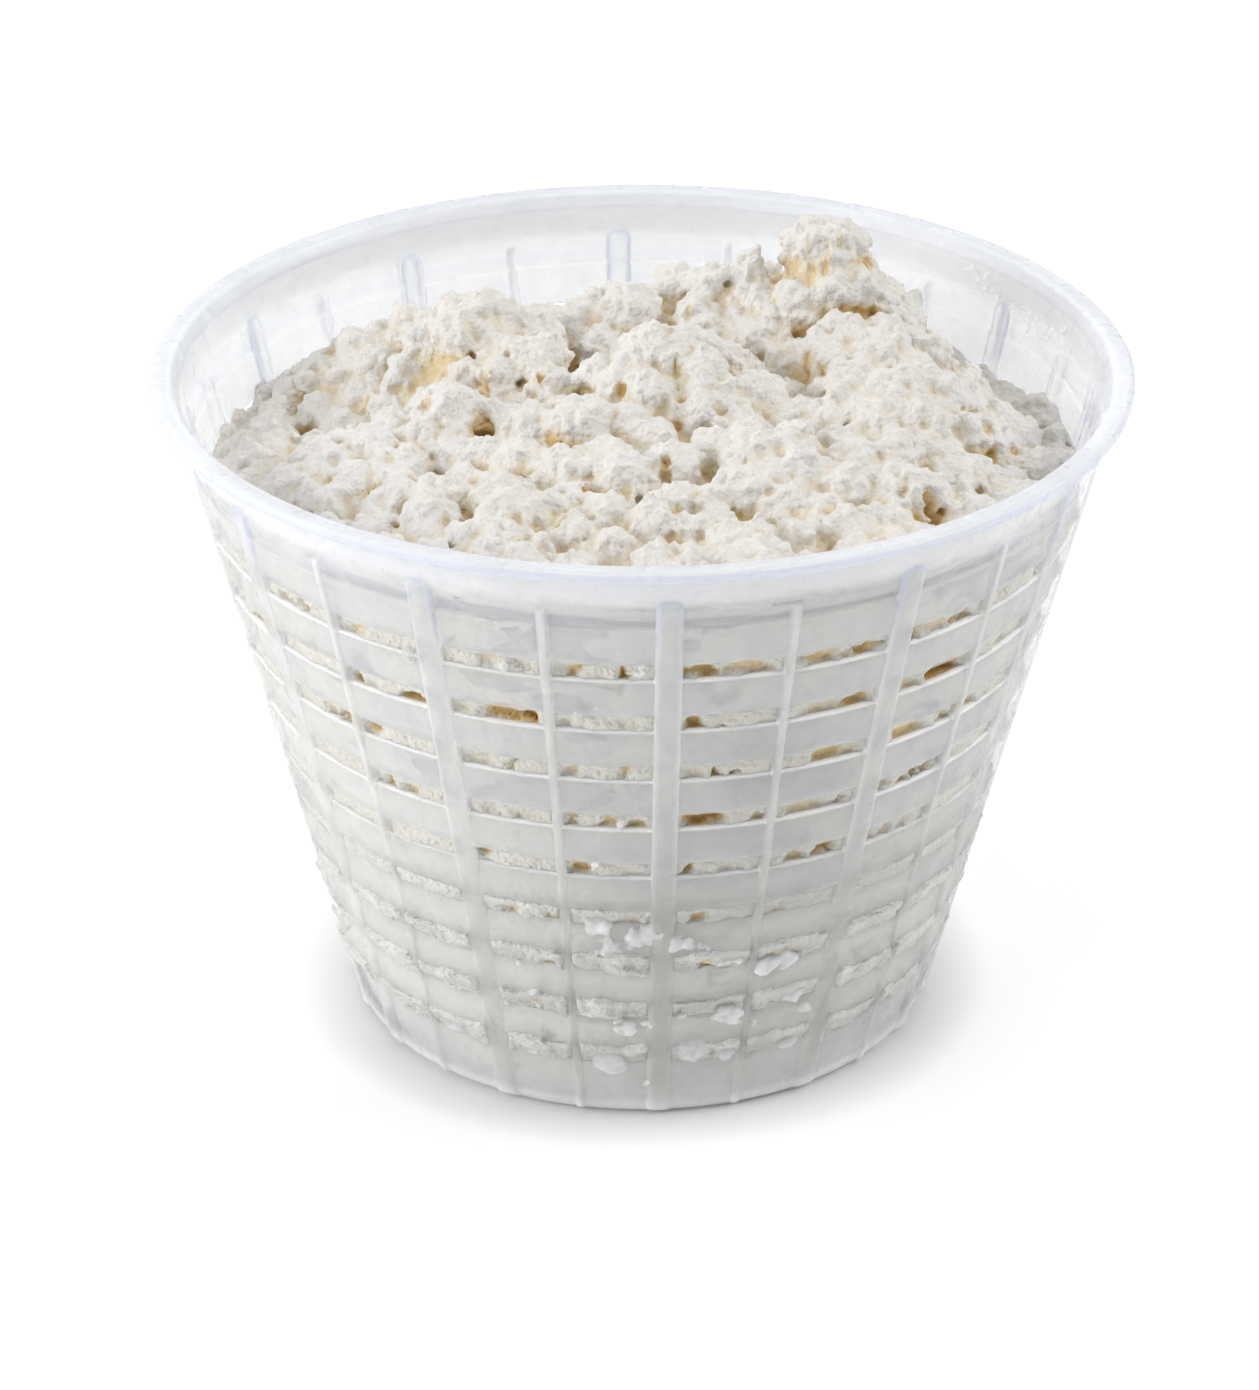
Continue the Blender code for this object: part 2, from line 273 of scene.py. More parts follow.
def build_basket():
    rows, slots = wall_rows()
    n = len(rows)
    angle = np.empty((n, COLUMNS))
    t_wide = np.empty((n, COLUMNS))
    t_thin = np.empty((n, COLUMNS))
    for i, z in enumerate(rows):
        one = column_angles(z)
        for k in range(12):
            angle[i, k * PAIR_COLUMNS : (k + 1) * PAIR_COLUMNS] = one + k * math.pi / 6
        off_wide = np.minimum(one, math.pi / 6 - one)
        t_wide[i] = np.tile(off_wide * outer_r(z), 12)
        t_thin[i] = np.tile(np.abs(one - math.pi / 12) * outer_r(z), 12)
    z = np.repeat(rows[:, None], COLUMNS, axis=1)
    wide, thin = rib_height(t_wide, z, True), rib_height(t_thin, z, False)
    off, back = slat_offset(z)
    rib = np.maximum(wide, thin)
    in_slot_row = np.zeros_like(z, bool)
    for low, high in slots:
        in_slot_row |= (z > low + 1e-6) & (z < high - 1e-6)
    # a rib's outside is straight; between ribs the slat's own line shows
    ribless = outer_r(z) + off - back * (1 - rib)
    outside = np.maximum(ribless, np.where(rib > 0, outer_r(z) - 0.1 + (0.1 + 0.50) * wide + (0.1 + 0.44) * thin * (wide <= 0), 0))
    thinning = np.where(z > FIRST_Z + 1e-6, 0.30 * np.clip(1 - (z - FIRST_Z) / 3.0, 0, 1) ** 1.3, 0.0)
    inside = inner_r(z) + (back * 0.8 + thinning) * (1 - rib) - 0.30 * np.maximum(wide, thin * 0.85)
    theta = angle - math.pi / 2 + TURN

    # how milky the plastic looks: little at the thin lower edge of a slat, most along its top ledge and on the lip
    milk = 0.37 + 0.08 * (1 - smooth(z, 24, 46))
    # ledge: a painted highlight along each slat's top ledge, which is painted near white, made nearly opaque and given
    # a faint glow
    ledge = np.zeros_like(z)
    for low, high in [*slots, (FIRST_Z, FIRST_Z)]:
        ledge = np.maximum(ledge, (1.0 if low < high else 0.35) * (1 - np.clip(np.abs(z - low + 0.08) / 0.26, 0, 1)))
        above = z - high
        thinnest = 0.05 if low < high else 0.18
        milk = np.where((above > -1e-6) & (above < 2.2), np.minimum(milk, thinnest + (milk - 0.02) * smooth(above, 0.0, 2.2)), milk)
    milk = np.maximum(milk, 0.72 * smooth(z, 77.0, 81.0))
    milk = milk * (1 - 0.9 * rib) + 0.9 * rib * (0.50 - 0.10 * smooth(z, 28, 50))
    milk = np.where(z < 4.0, np.maximum(milk, 0.37 + 0.5 * (1 - smooth(z, 1.6, 3.6))), milk)
    ledge = np.clip(ledge * 1.5, 0, 1) * (1 - rib) * (0.30 + 0.70 * smooth(z, 24, 48))
    milk = np.maximum(milk, 0.97 * ledge)
    # painted highlight along a wide rib's edges and on a thin rib's crest: painted whiter, more opaque, and given a
    # faint glow
    glow = np.maximum(4 * wide * (1 - wide) * 0.55, thin**3 * 0.40 * (wide <= 0)) * smooth(z, 25, 50)
    ledge = np.maximum(ledge, glow * (1 - smooth(z, 71.0, 74.0)))
    milk = np.maximum(milk, 0.36 + (0.35 + 0.35 * smooth(z, 71.0, 74.0)) * glow)
    # painted shade: the ribs low on the wall are painted darker, most on the side facing the camera
    facing = np.clip(-np.sin(theta), 0.0, 1.0)
    painted_shade = rib * (1 - smooth(z, 26, 52)) * (0.25 + 0.70 * facing**2)
    # painted shade on the sides of a rib high up, and on the step over the highest ledge: painted darker and more
    # opaque
    sides = np.maximum(4 * wide * (1 - wide), 2.4 * thin * (1 - thin) * (wide <= 0)) * smooth(z, 58, 68) * 0.85
    step = np.clip(1 - np.abs(z - FIRST_Z - 0.9) / 0.8, 0, 1) * 0.6 * (1 - rib)
    painted_shade = np.maximum(painted_shade, np.maximum(sides, step))
    milk = np.maximum(milk, 0.62 * np.maximum(sides, step))
    # painted shade: low on the wall, and most on the side facing the camera, the plastic is painted greyer; this is 1
    # where none is painted
    unshaded = 1 - (1 - smooth(z, 18, 44 + 12 * facing**2)) * (0.45 + 0.55 * facing**2)
    # painted light: the band at the foot, and the lower wall on the left side, are painted lighter
    ledge = np.maximum(ledge, 0.60 * (1 - smooth(z, 2.6, 6.0)))
    ledge = np.maximum(ledge, 0.55 * np.clip(-np.cos(theta), 0, 1) ** 2 * (1 - smooth(z, 36, 66)))
    points, thick, white, painted_shade_values, unshaded_values = [], [], [], [], []

    def ring(radius, height, th, thick_value, painted_highlight_value=0.0, painted_shade_value=0.0, unshaded_value=1.0):
        start = len(points)
        unshaded_values.extend(np.broadcast_to(unshaded_value, th.shape))
        white.extend(np.broadcast_to(painted_highlight_value, th.shape))
        painted_shade_values.extend(np.broadcast_to(painted_shade_value, th.shape))
        radius = np.broadcast_to(radius, th.shape)
        height = np.broadcast_to(height, th.shape)
        points.extend(np.stack([radius * np.cos(th), radius * np.sin(th), height], -1))
        thick.extend(np.broadcast_to(thick_value, th.shape))
        return np.arange(start, start + COLUMNS)

    outer_rings = [ring(outside[i], z[i], theta[i], milk[i], ledge[i], painted_shade[i], unshaded[i]) for i in range(n)]
    inner_rings = [ring(inside[i], z[i], theta[i], milk[i], ledge[i], painted_shade[i], unshaded[i]) for i in range(n)]
    top_th, low_th = theta[-1], theta[0]
    lip = [
        (outer_r(83.15) + 0.02, 83.15, 0.6), (outer_r(83.4) + 0.25, 83.42, 0.65), (59.15, 83.62, 0.7), (59.62, 83.66, 0.75), (59.88, 83.78, 0.8),
        (59.99, 84.02, 0.85), (60.0, 84.45, 0.9), (59.97, 84.72, 0.95), (59.85, 84.90, 0.95), (59.6, 84.98, 0.85),
        (59.0, 85.0, 0.75), (58.3, 84.99, 0.72), (57.75, 84.97, 0.8), (57.45, 84.90, 0.95), (57.26, 84.74, 0.95), (57.12, 84.45, 0.8),
        (inner_r(83.8) + 0.02, 83.8, 0.65), (inner_r(83.3), 83.3, 0.6),
    ]
    # painted highlight on the lip's rounded top, and painted shade, bluish grey, along its outer lower edge
    lip_rings = [ring(r, h, top_th, 0.92 * v, 0.2 * np.clip((v - 0.7) / 0.25, 0, 1), 0.85 if r > 59.5 and h < 84.8 else 0.2) for r, h, v in lip]
    rib0 = np.maximum(wide[0], thin[0])
    foot = [
        (outer_r(1.1) + 0.5 * rib0, 1.1, 0.92), (outer_r(0.75) - 0.12 + 0.35 * rib0, 0.62, 0.92), (36.15 + 0.18 * rib0, 0.24, 0.92), (35.55, 0.03, 0.92),
        (35.0, 0.0, 0.6), (34.0, 0.0, 0.6), (33.0, 0.0, 0.6), (33.0, 0.7, 0.6), (33.0, 1.4, 0.6), (34.4, 1.4, 0.6), (inner_r(1.5) - 0.35, 1.42, 0.6),
    ]
    # painted light: the foot is painted lighter
    foot_rings = [ring(r, h, low_th, v, 0.55, 0.0, unshaded[0]) for r, h, v in foot]

    faces = []

    def band(low, high):
        a, b = low, np.roll(low, -1)
        c, d = np.roll(high, -1), high
        faces.append(np.stack([a, b, c, d], -1))

    def cells(low, high, keep):
        a, b = low, np.roll(low, -1)
        c, d = np.roll(high, -1), high
        faces.append(np.stack([a, b, c, d], -1)[keep])

    column_gap = np.zeros(COLUMNS, bool)
    w_edge, t_edge = WIDE_AT.index(1.0), HALF_COLUMNS - 1 - THIN_AT.index(1.0)
    for k in range(12):
        base = k * PAIR_COLUMNS
        column_gap[base + w_edge : base + t_edge] = True
        last = PAIR_COLUMNS
        column_gap[base + last - t_edge : base + last - w_edge] = True
    mid = (rows[:-1] + rows[1:]) / 2
    hole = np.zeros((n - 1, COLUMNS), bool)
    for low, high in slots:
        hole[(mid > low) & (mid < high)] = column_gap
    for i in range(n - 1):
        cells(outer_rings[i], outer_rings[i + 1], ~hole[i])
        cells(inner_rings[i + 1], inner_rings[i], ~hole[i])
        after = np.roll(hole[i], 1)
        left = hole[i] & ~after  # a hole starts at this column
        right = ~hole[i] & after
        for at in np.nonzero(left | right)[0]:
            faces.append(np.array([[outer_rings[i][at], outer_rings[i + 1][at], inner_rings[i + 1][at], inner_rings[i][at]]]))
    for i in range(1, n - 1):
        change = hole[i] != hole[i - 1]
        for at in np.nonzero(change)[0]:
            nxt = (at + 1) % COLUMNS
            faces.append(np.array([[outer_rings[i][at], outer_rings[i][nxt], inner_rings[i][nxt], inner_rings[i][at]]]))
    chain = [outer_rings[-1], *lip_rings, inner_rings[-1]]
    for low, high in zip(chain, chain[1:]):
        band(low, high)
    chain = [outer_rings[0], *foot_rings, inner_rings[0]]
    for low, high in zip(chain, chain[1:]):
        band(high, low)
    points_a = np.array(points)
    # a moulded basket is never quite round or even
    wave = 0.10 * np.sin(2 * np.arctan2(points_a[:, 1], points_a[:, 0]) + 0.7) * smooth(points_a[:, 2], 20, 85)
    rad = np.hypot(points_a[:, 0], points_a[:, 1])
    nick = 0.05 * fractal(points_a, 2.2, 5, 2) * smooth(points_a[:, 2], 84.0, 84.6)
    points_a[:, :2] *= ((rad + np.minimum(wave, 0.02) * 0.5 + nick * 0.6) / rad)[:, None]
    points_a[:, 2] += nick
    return mesh_object("basket_wall", points_a, np.concatenate(faces), {"milk": np.array(thick), "white": np.array(white), "painted_shade": np.array(painted_shade_values), "unshaded": np.array(unshaded_values)})


def build_floor():
    """The basket's floor: a disc with radial drain slots, its edges rounded."""
    bm = bmesh.new()
    turned = bmesh.ops.create_cone(bm, cap_ends=True, segments=96, radius1=33.5, radius2=33.5, depth=1.25)
    bmesh.ops.translate(bm, verts=turned["verts"], vec=(0, 0, 0.05 + 1.25 / 2))
    mesh = bpy.data.meshes.new("basket_floor")
    bm.to_mesh(mesh)
    bm.free()
    disc = bpy.data.objects.new("basket_floor", mesh)
    bpy.context.scene.collection.objects.link(disc)
    bm = bmesh.new()
    for k in range(8):
        made = bmesh.ops.create_cube(bm, size=1.0)["verts"]
        bmesh.ops.scale(bm, vec=(2.3, 15.0, 6.0), verts=made)
        bmesh.ops.translate(bm, vec=(0, -21.0, 0), verts=made)
        ends = []
        for y in (-28.5, -13.5):
            end = bmesh.ops.create_cone(bm, cap_ends=True, segments=20, radius1=1.15, radius2=1.15, depth=6.0)["verts"]
            bmesh.ops.translate(bm, vec=(0, y, 0), verts=end)
            ends += end
        bmesh.ops.rotate(bm, cent=(0, 0, 0), matrix=Matrix.Rotation(TURN + math.tau * (k + 0.5) / 8, 3, "Z"), verts=made + ends)
    cut_mesh = bpy.data.meshes.new("drain_cut")
    bm.to_mesh(cut_mesh)
    bm.free()
    cutter = bpy.data.objects.new("drain_cut", cut_mesh)
    bpy.context.scene.collection.objects.link(cutter)
    cut = disc.modifiers.new("cut", "BOOLEAN")
    cut.operation, cut.solver, cut.object, cut.use_self = "DIFFERENCE", "EXACT", cutter, True
    bevel = disc.modifiers.new("round", "BEVEL")
    bevel.width, bevel.segments, bevel.limit_method, bevel.angle_limit = 0.22, 2, "ANGLE", math.radians(50)
    graph = bpy.context.evaluated_depsgraph_get()
    done = bpy.data.meshes.new_from_object(disc.evaluated_get(graph))
    bpy.data.objects.remove(cutter, do_unlink=True)
    disc.modifiers.clear()
    done.transform(Matrix.Scale(MM, 4))
    disc.data = done
    done.name = "basket_floor"
    layer = done.attributes.new("milk", "FLOAT", "POINT")
    layer.data.foreach_set("value", np.full(len(done.vertices), 0.6, np.float32))
    return disc


# ------------------------------------------------------------------ ricotta

LUMPS = (
    (23.2, 20.5, 91.5, 6.5),
    (12.5, 21.5, 88.0, 10.0),
    (-0.5, 19.0, 86.2, 10.0),
    (3.0, -3.0, 88.0, 12.0),
    (29.0, -7.0, 84.2, 18.0),
    (27.5, 6.0, 86.2, 10.0),
    (-20.0, 11.0, 87.8, 6.0),
    (-13.5, 0.0, 84.5, 8.0),
    (-34.5, 18.0, 80.0, 9.0),
    (-45.0, -6.0, 76.8, 9.0),
    (-33.5, -16.0, 80.8, 8.0),
    (-23.0, -8.0, 82.8, 9.0),
    (-6.0, -12.0, 83.5, 9.0),
    (0.0, -24.0, 81.5, 12.0),
    (19.0, -22.0, 83.2, 12.0),
    (42.0, -8.0, 80.0, 9.0),
    (30.0, -29.0, 81.2, 11.0),
    (-18.0, -38.0, 80.2, 15.0),
    (8.0, -42.0, 80.6, 15.0),
)
CROWN, BLEND = 4.0, 1.1


def contact_z(front_angle):
    at = (front_angle % math.tau) / math.tau * 12
    low = np.floor(at).astype(int) % 12
    share = smooth(at - np.floor(at))
    table = np.array(CONTACT)
    return table[low] * (1 - share) + table[(low + 1) % 12] * share


def heap_z(x, y):
    edge = contact_z(np.arctan2(x, -y))
    far = np.minimum(1.0, np.hypot(x, y) / (inner_r(edge) - 0.6))
    bed = edge + CROWN * (1 - far**2)
    total = 1.0
    for px, py, top, bend in LUMPS:
        lump = top - ((x - px) ** 2 + (y - py) ** 2) / (2 * bend)
        total = total + np.exp(np.minimum(60.0, (lump - bed) / BLEND))
    return bed + BLEND * np.log(total) * np.minimum(1.0, (1 - far) / 0.16)


def blurred(field, radius):
    """A box blur run twice along both sides of a grid."""
    out = field
    for _ in range(2):
        for axis in (0, 1):
            pad = [(0, 0)] * out.ndim
            pad[axis] = (radius + 1, radius)
            total = np.cumsum(np.pad(out, pad, mode="edge"), axis=axis)
            size = 2 * radius + 1
            n = out.shape[axis]
            out = (np.take(total, range(size, size + n), axis=axis) - np.take(total, range(0, n), axis=axis)) / size
    return out


# hollows between the clumps: x, y, height, radius, how strongly the painted ochre shade shows, depth
PITS = (
    (4.5, -11.5, 85, 0.9, 1, 2.2), (-2.9, -9.7, 84.9, 0.9, 0.9, 1.8), (-4.5, -7.8, 84.9, 0.7, 0.6, 1.2),
    (-3.2, -14.8, 83.4, 0.9, 0.4, 0.8), (-1.8, -19, 82.7, 1, 0.6, 1.2), (2.7, -26.4, 82.4, 1.1, 1, 2.4),
    (-5.8, -30.6, 81.5, 1.4, 1, 2.6), (-0.6, -33.5, 81.5, 1.1, 0.7, 1.6), (-2, -30.8, 81.8, 1.5, 0.45, 1.5),
    (4, -35.5, 81.3, 1.4, 0.5, 1.4), (6.3, -32.7, 81.4, 1.1, 0.4, 1.2), (21.6, -0.5, 82.8, 1.5, 1, 2.2),
    (20.1, 2.8, 83, 1.1, 0.7, 1.4), (21.7, -5.5, 82.7, 1.1, 0.6, 1.2), (24.2, -3.5, 83.4, 1, 0.4, 0.8),
    (9.5, -13.4, 82.6, 1.1, 0.6, 2.4), (7.6, -15.9, 82.3, 1.4, 0.5, 2.2), (9.8, -9.1, 84.5, 1, 0.3, 2),
    (9.7, -3.7, 86.1, 1, 0.3, 1.6), (23, 14.3, 89.4, 1.1, 0.6, 1.2), (20.9, 14.7, 89.3, 1.1, 0.5, 0.8),
    (24.3, 15.9, 91.7, 1.1, 0.35, 0.6), (17.2, 17.8, 88.8, 1.1, 0.45, 0.8), (33.8, -32.3, 80.1, 1.5, 1, 2.8),
    (34.9, -8.9, 83.1, 1, 0.4, 0.9), (21.6, -35.8, 80.2, 1.1, 0.6, 1.6), (13.7, 16.9, 86.9, 1, 0.4, 0.8),
    (5.8, 13, 83, 1.1, 0.5, 1.2), (3.2, -3.5, 88, 1, 0.5, 1.2), (4.1, -7.4, 87.2, 0.7, 0.8, 1.4),
    (-8.9, -38.5, 80.6, 1.1, 0.55, 1.2), (3, -43.9, 80.8, 1.1, 0.5, 1.2), (13.4, -41.2, 80.7, 1.4, 0.35, 0.8),
    (31.6, 1.4, 84.4, 1, 0.3, 0.8), (-12.3, -3.2, 83.8, 1.4, 0.75, 1.6), (-16.8, -4.8, 82.5, 1.2, 0.9, 2),
    (-19.3, -0.4, 82.4, 1.1, 0.6, 1.4), (-18.9, -10.7, 81.5, 1.5, 0.9, 3), (-10.6, -16.2, 82.1, 1, 1, 2.4),
    (-14.3, -24.9, 80.9, 2.1, 0.85, 3.4), (-15.9, -27.2, 80.7, 1.1, 0.8, 1.6), (-19.9, -24.7, 79.9, 1, 0.9, 1.6),
    (-41.6, 12.3, 75.4, 1.1, 0.6, 1.2), (-42.9, -4.3, 76.4, 1.2, 0.35, 0.9), (-26.1, -9.6, 82.1, 1.5, 0.45, 1),
    (-34.4, 6.3, 73.6, 0.7, 0.6, 0.8), (-32.1, -24.6, 77.2, 1.4, 0.9, 1.8), (-27.3, -23.2, 77.8, 0.9, 0.7, 1),
    (-24.4, -21.2, 78.2, 1.2, 0.6, 1.6), (-30, -19.7, 79.3, 1.2, 0.4, 0.9), (-37.4, -22.3, 77.6, 1.1, 0.6, 1.4),
    (-10.2, -38.9, 80.5, 1.2, 0.6, 1.4), (-14.7, -39.4, 80.6, 1.1, 0.5, 1.2), (-14.3, -43.2, 80, 1, 0.6, 1.2),
    (-22.8, -36.9, 80.2, 1.1, 0.35, 0.9), (-21.4, 6, 85.5, 0.9, 0.4, 0.6), (41.9, -11.6, 79.9, 1.4, 0.5, 1.4),
    (28.1, -22.3, 80.6, 1, 0.3, 1), (26.6, -28.6, 81.2, 1, 0.3, 1), (12.9, -12.5, 81.4, 1, 0.3, 1),
    (30.6, -31.6, 81, 1.1, 0.4, 1.4), (-25, 30, 77, 1.3, 0.6, 1.8), (5, 35, 78, 1.4, 0.6, 1.8),
    (25, 33, 77, 1.2, 0.7, 1.6), (38, 15, 79, 1.2, 0.6, 1.6), (-5, 44, 75, 1.3, 0.5, 1.6), (-40, 25, 74, 1.2, 0.6, 1.6),
)
# clumps as the photo shows them: where the middle of the visible face lies, and radius
CLUMPS = (
    (-48.8, 21.7, 70.5, 2.2), (-51.3, 14.8, 70.7, 1.5), (-45.3, 23.2, 71.1, 1.9), (-42, 14.4, 76.1, 1.5), (-46.1, 7, 71.8, 3),
    (-46.3, -9.8, 75, 3), (-50.4, 0.7, 71.8, 1.9), (-52.1, 9.1, 70.9, 1.5), (-36.7, 4.3, 73, 3.4), (-37.1, -18.3, 79.7, 2.6),
    (-34.5, -22.3, 78.4, 3), (-29.3, -20, 78.9, 3.4), (-31.9, -16.2, 80.7, 2.2), (-23.3, -10.1, 82.6, 4.1),
    (-26.1, -13.2, 80.8, 2.6), (-27.4, -15.8, 79.3, 2.2), (-22.4, -16.4, 79.2, 3), (-18.9, -18, 79.2, 3.4),
    (-17, -9.7, 80.8, 2.6), (-21.2, -22.3, 79.2, 2.2), (-33.3, 20.5, 79.6, 1.7), (-36.1, 16.4, 79.7, 2.2),
    (-30.9, 16.6, 79.2, 2.6), (-26.9, 9.1, 83.6, 2.2), (-19.5, 9.2, 87.5, 2.6), (-22, 6.3, 85.6, 3.4), (-16.6, 9.4, 86.6, 1.9),
    (-17.6, 4.5, 84, 3), (-33.7, 12.4, 78.2, 3), (-29, 7.1, 79.7, 2.6), (-37.4, 12.1, 77.6, 1.9), (-41.7, -19.9, 76.2, 3.4),
    (-36.1, -25.3, 76.4, 3.7), (-29.1, -26.4, 77.7, 4.1), (-23.7, -29.3, 79.4, 3.4), (-24.5, -36.6, 79.8, 3.4),
    (-16.8, -32.6, 80.6, 3), (-16.2, -39.9, 80.6, 3), (-34.3, 8.8, 75.4, 3), (-40.3, 8.8, 73.8, 2.6), (-30.5, 5.4, 76.1, 3),
    (-39.1, -21, 77.5, 2.2), (-21.2, 2, 81.5, 3), (-18.5, 10.3, 87.6, 2.2), (-13, 46.3, 70.3, 2.8), (-7, 18.6, 84.1, 1),
    (-9.3, 16.5, 82, 2.8), (-13, 1, 84.4, 3.6), (-17.5, -0.7, 83.5, 2.4), (-1.5, 14.8, 85.3, 3.6), (4, 21.6, 85.4, 3.2),
    (8.7, 18.9, 86.9, 2.8), (13.4, 16.9, 86.9, 3.2), (7.1, 14, 83.9, 3.6), (1.5, -4.9, 87.8, 4), (-2.6, -8.9, 85.4, 2.8),
    (0.8, -10.8, 85.4, 2.4), (6.8, -6.6, 86.9, 2.8), (8.3, -9.8, 85, 2.8), (6.4, -12.8, 83.8, 2.8), (14.9, 11.9, 83.1, 4.7),
    (13.6, -7.8, 82.5, 4.4), (-7.1, -15.1, 83.2, 3.6), (-1.9, -15.1, 83.2, 2.4), (1.5, -17.5, 82.7, 2.4),
    (-13.9, -12.7, 80.5, 3.6), (-14.1, -21.9, 81, 3.2), (-18.8, -9.8, 81.7, 2.4), (-8.8, -25.4, 81.4, 3.6),
    (-1.9, -28.7, 82.1, 3.2), (3.7, -25.7, 82.3, 3.2), (8.9, -21.3, 82, 3.2), (4, -33.4, 81.5, 2.4), (1.4, -38.6, 81.1, 3.2),
    (-15.2, -37.7, 80.7, 3.6), (-10.9, -34.4, 80.7, 2.4), (-8, -40.5, 80.4, 2.8), (-3.3, -43.8, 80.4, 2.4),
    (7.9, -33.8, 81.3, 2.4), (12.4, -31.8, 81.1, 4), (13.9, -25.5, 82.3, 4.4), (10, -42.8, 81.1, 2.4), (12.9, -41.2, 80.8, 2),
    (16.7, -34.2, 80.6, 3.2), (17.7, -22.4, 83.3, 3.2), (-5.3, -4.4, 85.1, 2.4), (-5.4, 11, 81.8, 2.8),
    (-3.7, -22.3, 82.4, 2.4), (23, 16.8, 92.9, 4.4), (26.2, 17.7, 92.5, 2.4), (23.8, 13.9, 88.6, 3.2), (26.9, 14.9, 88.6, 2.8),
    (28.5, 15.3, 87.1, 2), (19.5, 13.5, 86.2, 4), (21.9, 3.9, 84.4, 3.2), (24.7, 6.6, 85.8, 2.8), (29.5, 1.5, 85.1, 3.6),
    (33.3, -0.2, 83.3, 2.4), (30.2, 15.2, 84.3, 2.4), (33.2, 18.8, 80.6, 2.4), (35.6, 6.4, 82.9, 2.4), (40.2, 32.5, 70.4, 2),
    (41.9, 26.4, 70.5, 2.4), (38, -4.4, 81.8, 2.8), (43.9, 25.9, 70.2, 2.4), (46.3, 20.2, 70.6, 2.4), (48.7, 10.8, 71.7, 3.6),
    (50.5, 3.8, 72.3, 2.4), (47.5, -12.2, 76.2, 2.4), (42.2, -11.3, 79.9, 2.4), (39.1, -12.9, 80.6, 2.8),
    (34.8, -7.8, 83.3, 3.6), (30.9, -9.3, 83.9, 4), (26, -9.8, 83.7, 4), (32.9, -14.6, 82.2, 4), (27.7, -15.1, 82.4, 3.6),
    (23.2, -13.2, 82.4, 3.2), (34.3, -18.2, 80.2, 3.6), (29.3, -20.3, 80.3, 4), (25.1, -22.9, 81.9, 3.2),
    (30.6, -31, 81.2, 3.6), (33.2, -30.2, 80.8, 2.4), (37.1, -20.8, 78.5, 3.2), (40.6, -19.3, 77.8, 2.4),
    (44.1, -17.2, 76.8, 2), (24.4, -30.4, 80.9, 3.2), (20.6, -34.5, 80.4, 2.4), (23.1, -37.7, 79.9, 2.8),
    (27.5, -36.6, 79.8, 2.8), (17.9, -39.8, 80.1, 2.4), (17.6, -1.3, 80.4, 2.4), (18.8, -10.8, 81.3, 3.2),
    (18.3, -28.4, 82, 3.6), (21.3, -3.8, 82.4, 1.6),
)
# the peak stands on a narrower neck, and thin crumbs stand up along the skyline: middle and radius
PEAK = (
    (22.6, 21.0, 90.9, 3.7), (25.3, 21.4, 89.9, 3.0), (20.4, 20.6, 90.0, 2.4), (23.6, 21.0, 87.6, 3.2), (26.4, 21.6, 87.2, 2.6),
    (13.6, 20.2, 89.3, 1.3), (13.9, 20.2, 90.5, 0.9), (13.2, 20.0, 87.6, 1.8), (-20.5, 13.2, 86.9, 1.3), (-20.9, 13.0, 85.6, 1.9),
    (-29.5, 19.6, 82.2, 1.5), (-6.0, 24.0, 82.6, 0.8), (-6.1, 24.0, 83.6, 0.6),
)
SIGHT = np.array([0.0, 0.889, -0.458])
BED_DROP = 2.3


def ball_cloud(centres, radii, level, rng):
    """Many slightly uneven balls as one list of points and one of triangles."""
    bm = bmesh.new()
    bmesh.ops.create_icosphere(bm, subdivisions=level, radius=1.0)
    unit = np.array([v.co[:] for v in bm.verts])
    tri = np.array([[v.index for v in f.verts] for f in bm.faces])
    bm.free()
    n = len(centres)
    stretch = rng.uniform(0.84, 1.16, (n, 1, 3))
    points = centres[:, None, :] + unit[None] * radii[:, None, None] * stretch
    return points.reshape(-1, 3), (tri[None] + (np.arange(n) * len(unit))[:, None, None]).reshape(-1, 3)


def joined(parts):
    points, tris, count = [], [], 0
    for P, T in parts:
        points.append(P)
        tris.append(T + count)
        count += len(P)
    return np.concatenate(points), np.concatenate(tris)


def fused(points, tris, voxel):
    """The outer skin of everything given, as one even mesh of quads."""
    mesh = bpy.data.meshes.new("raw")
    mesh.vertices.add(len(points))
    mesh.vertices.foreach_set("co", np.asarray(points, np.float32).ravel())
    mesh.loops.add(len(tris) * 3)
    mesh.loops.foreach_set("vertex_index", tris.astype(np.int32).ravel())
    mesh.polygons.add(len(tris))
    mesh.polygons.foreach_set("loop_start", np.arange(0, len(tris) * 3, 3, dtype=np.int32))
    mesh.polygons.foreach_set("loop_total", np.full(len(tris), 3, np.int32))
    mesh.update(calc_edges=True)
    raw = bpy.data.objects.new("raw", mesh)
    bpy.context.scene.collection.objects.link(raw)
    skin = raw.modifiers.new("fuse", "REMESH")
    skin.mode, skin.voxel_size, skin.adaptivity = "VOXEL", voxel, 0.0
    graph = bpy.context.evaluated_depsgraph_get()
    done = bpy.data.meshes.new_from_object(raw.evaluated_get(graph))
    P = np.empty(len(done.vertices) * 3, np.float32)
    done.vertices.foreach_get("co", P)
    size = np.empty(len(done.polygons), np.int32)
    done.polygons.foreach_get("loop_total", size)
    corner = np.empty(len(done.loops), np.int32)
    done.loops.foreach_get("vertex_index", corner)
    start = np.empty(len(done.polygons), np.int32)
    done.polygons.foreach_get("loop_start", start)
    quads = corner[start[size == 4][:, None] + np.arange(4)]
    bpy.data.objects.remove(raw, do_unlink=True)
    bpy.data.meshes.remove(mesh)
    bpy.data.meshes.remove(done)
    return P.reshape(-1, 3).astype(np.float64), quads.astype(np.int64)


def quad_links(quads, n):
    a = quads.ravel()
    b = np.roll(quads, -1, axis=1).ravel()
    return np.concatenate([a, b]), np.concatenate([b, a]), n


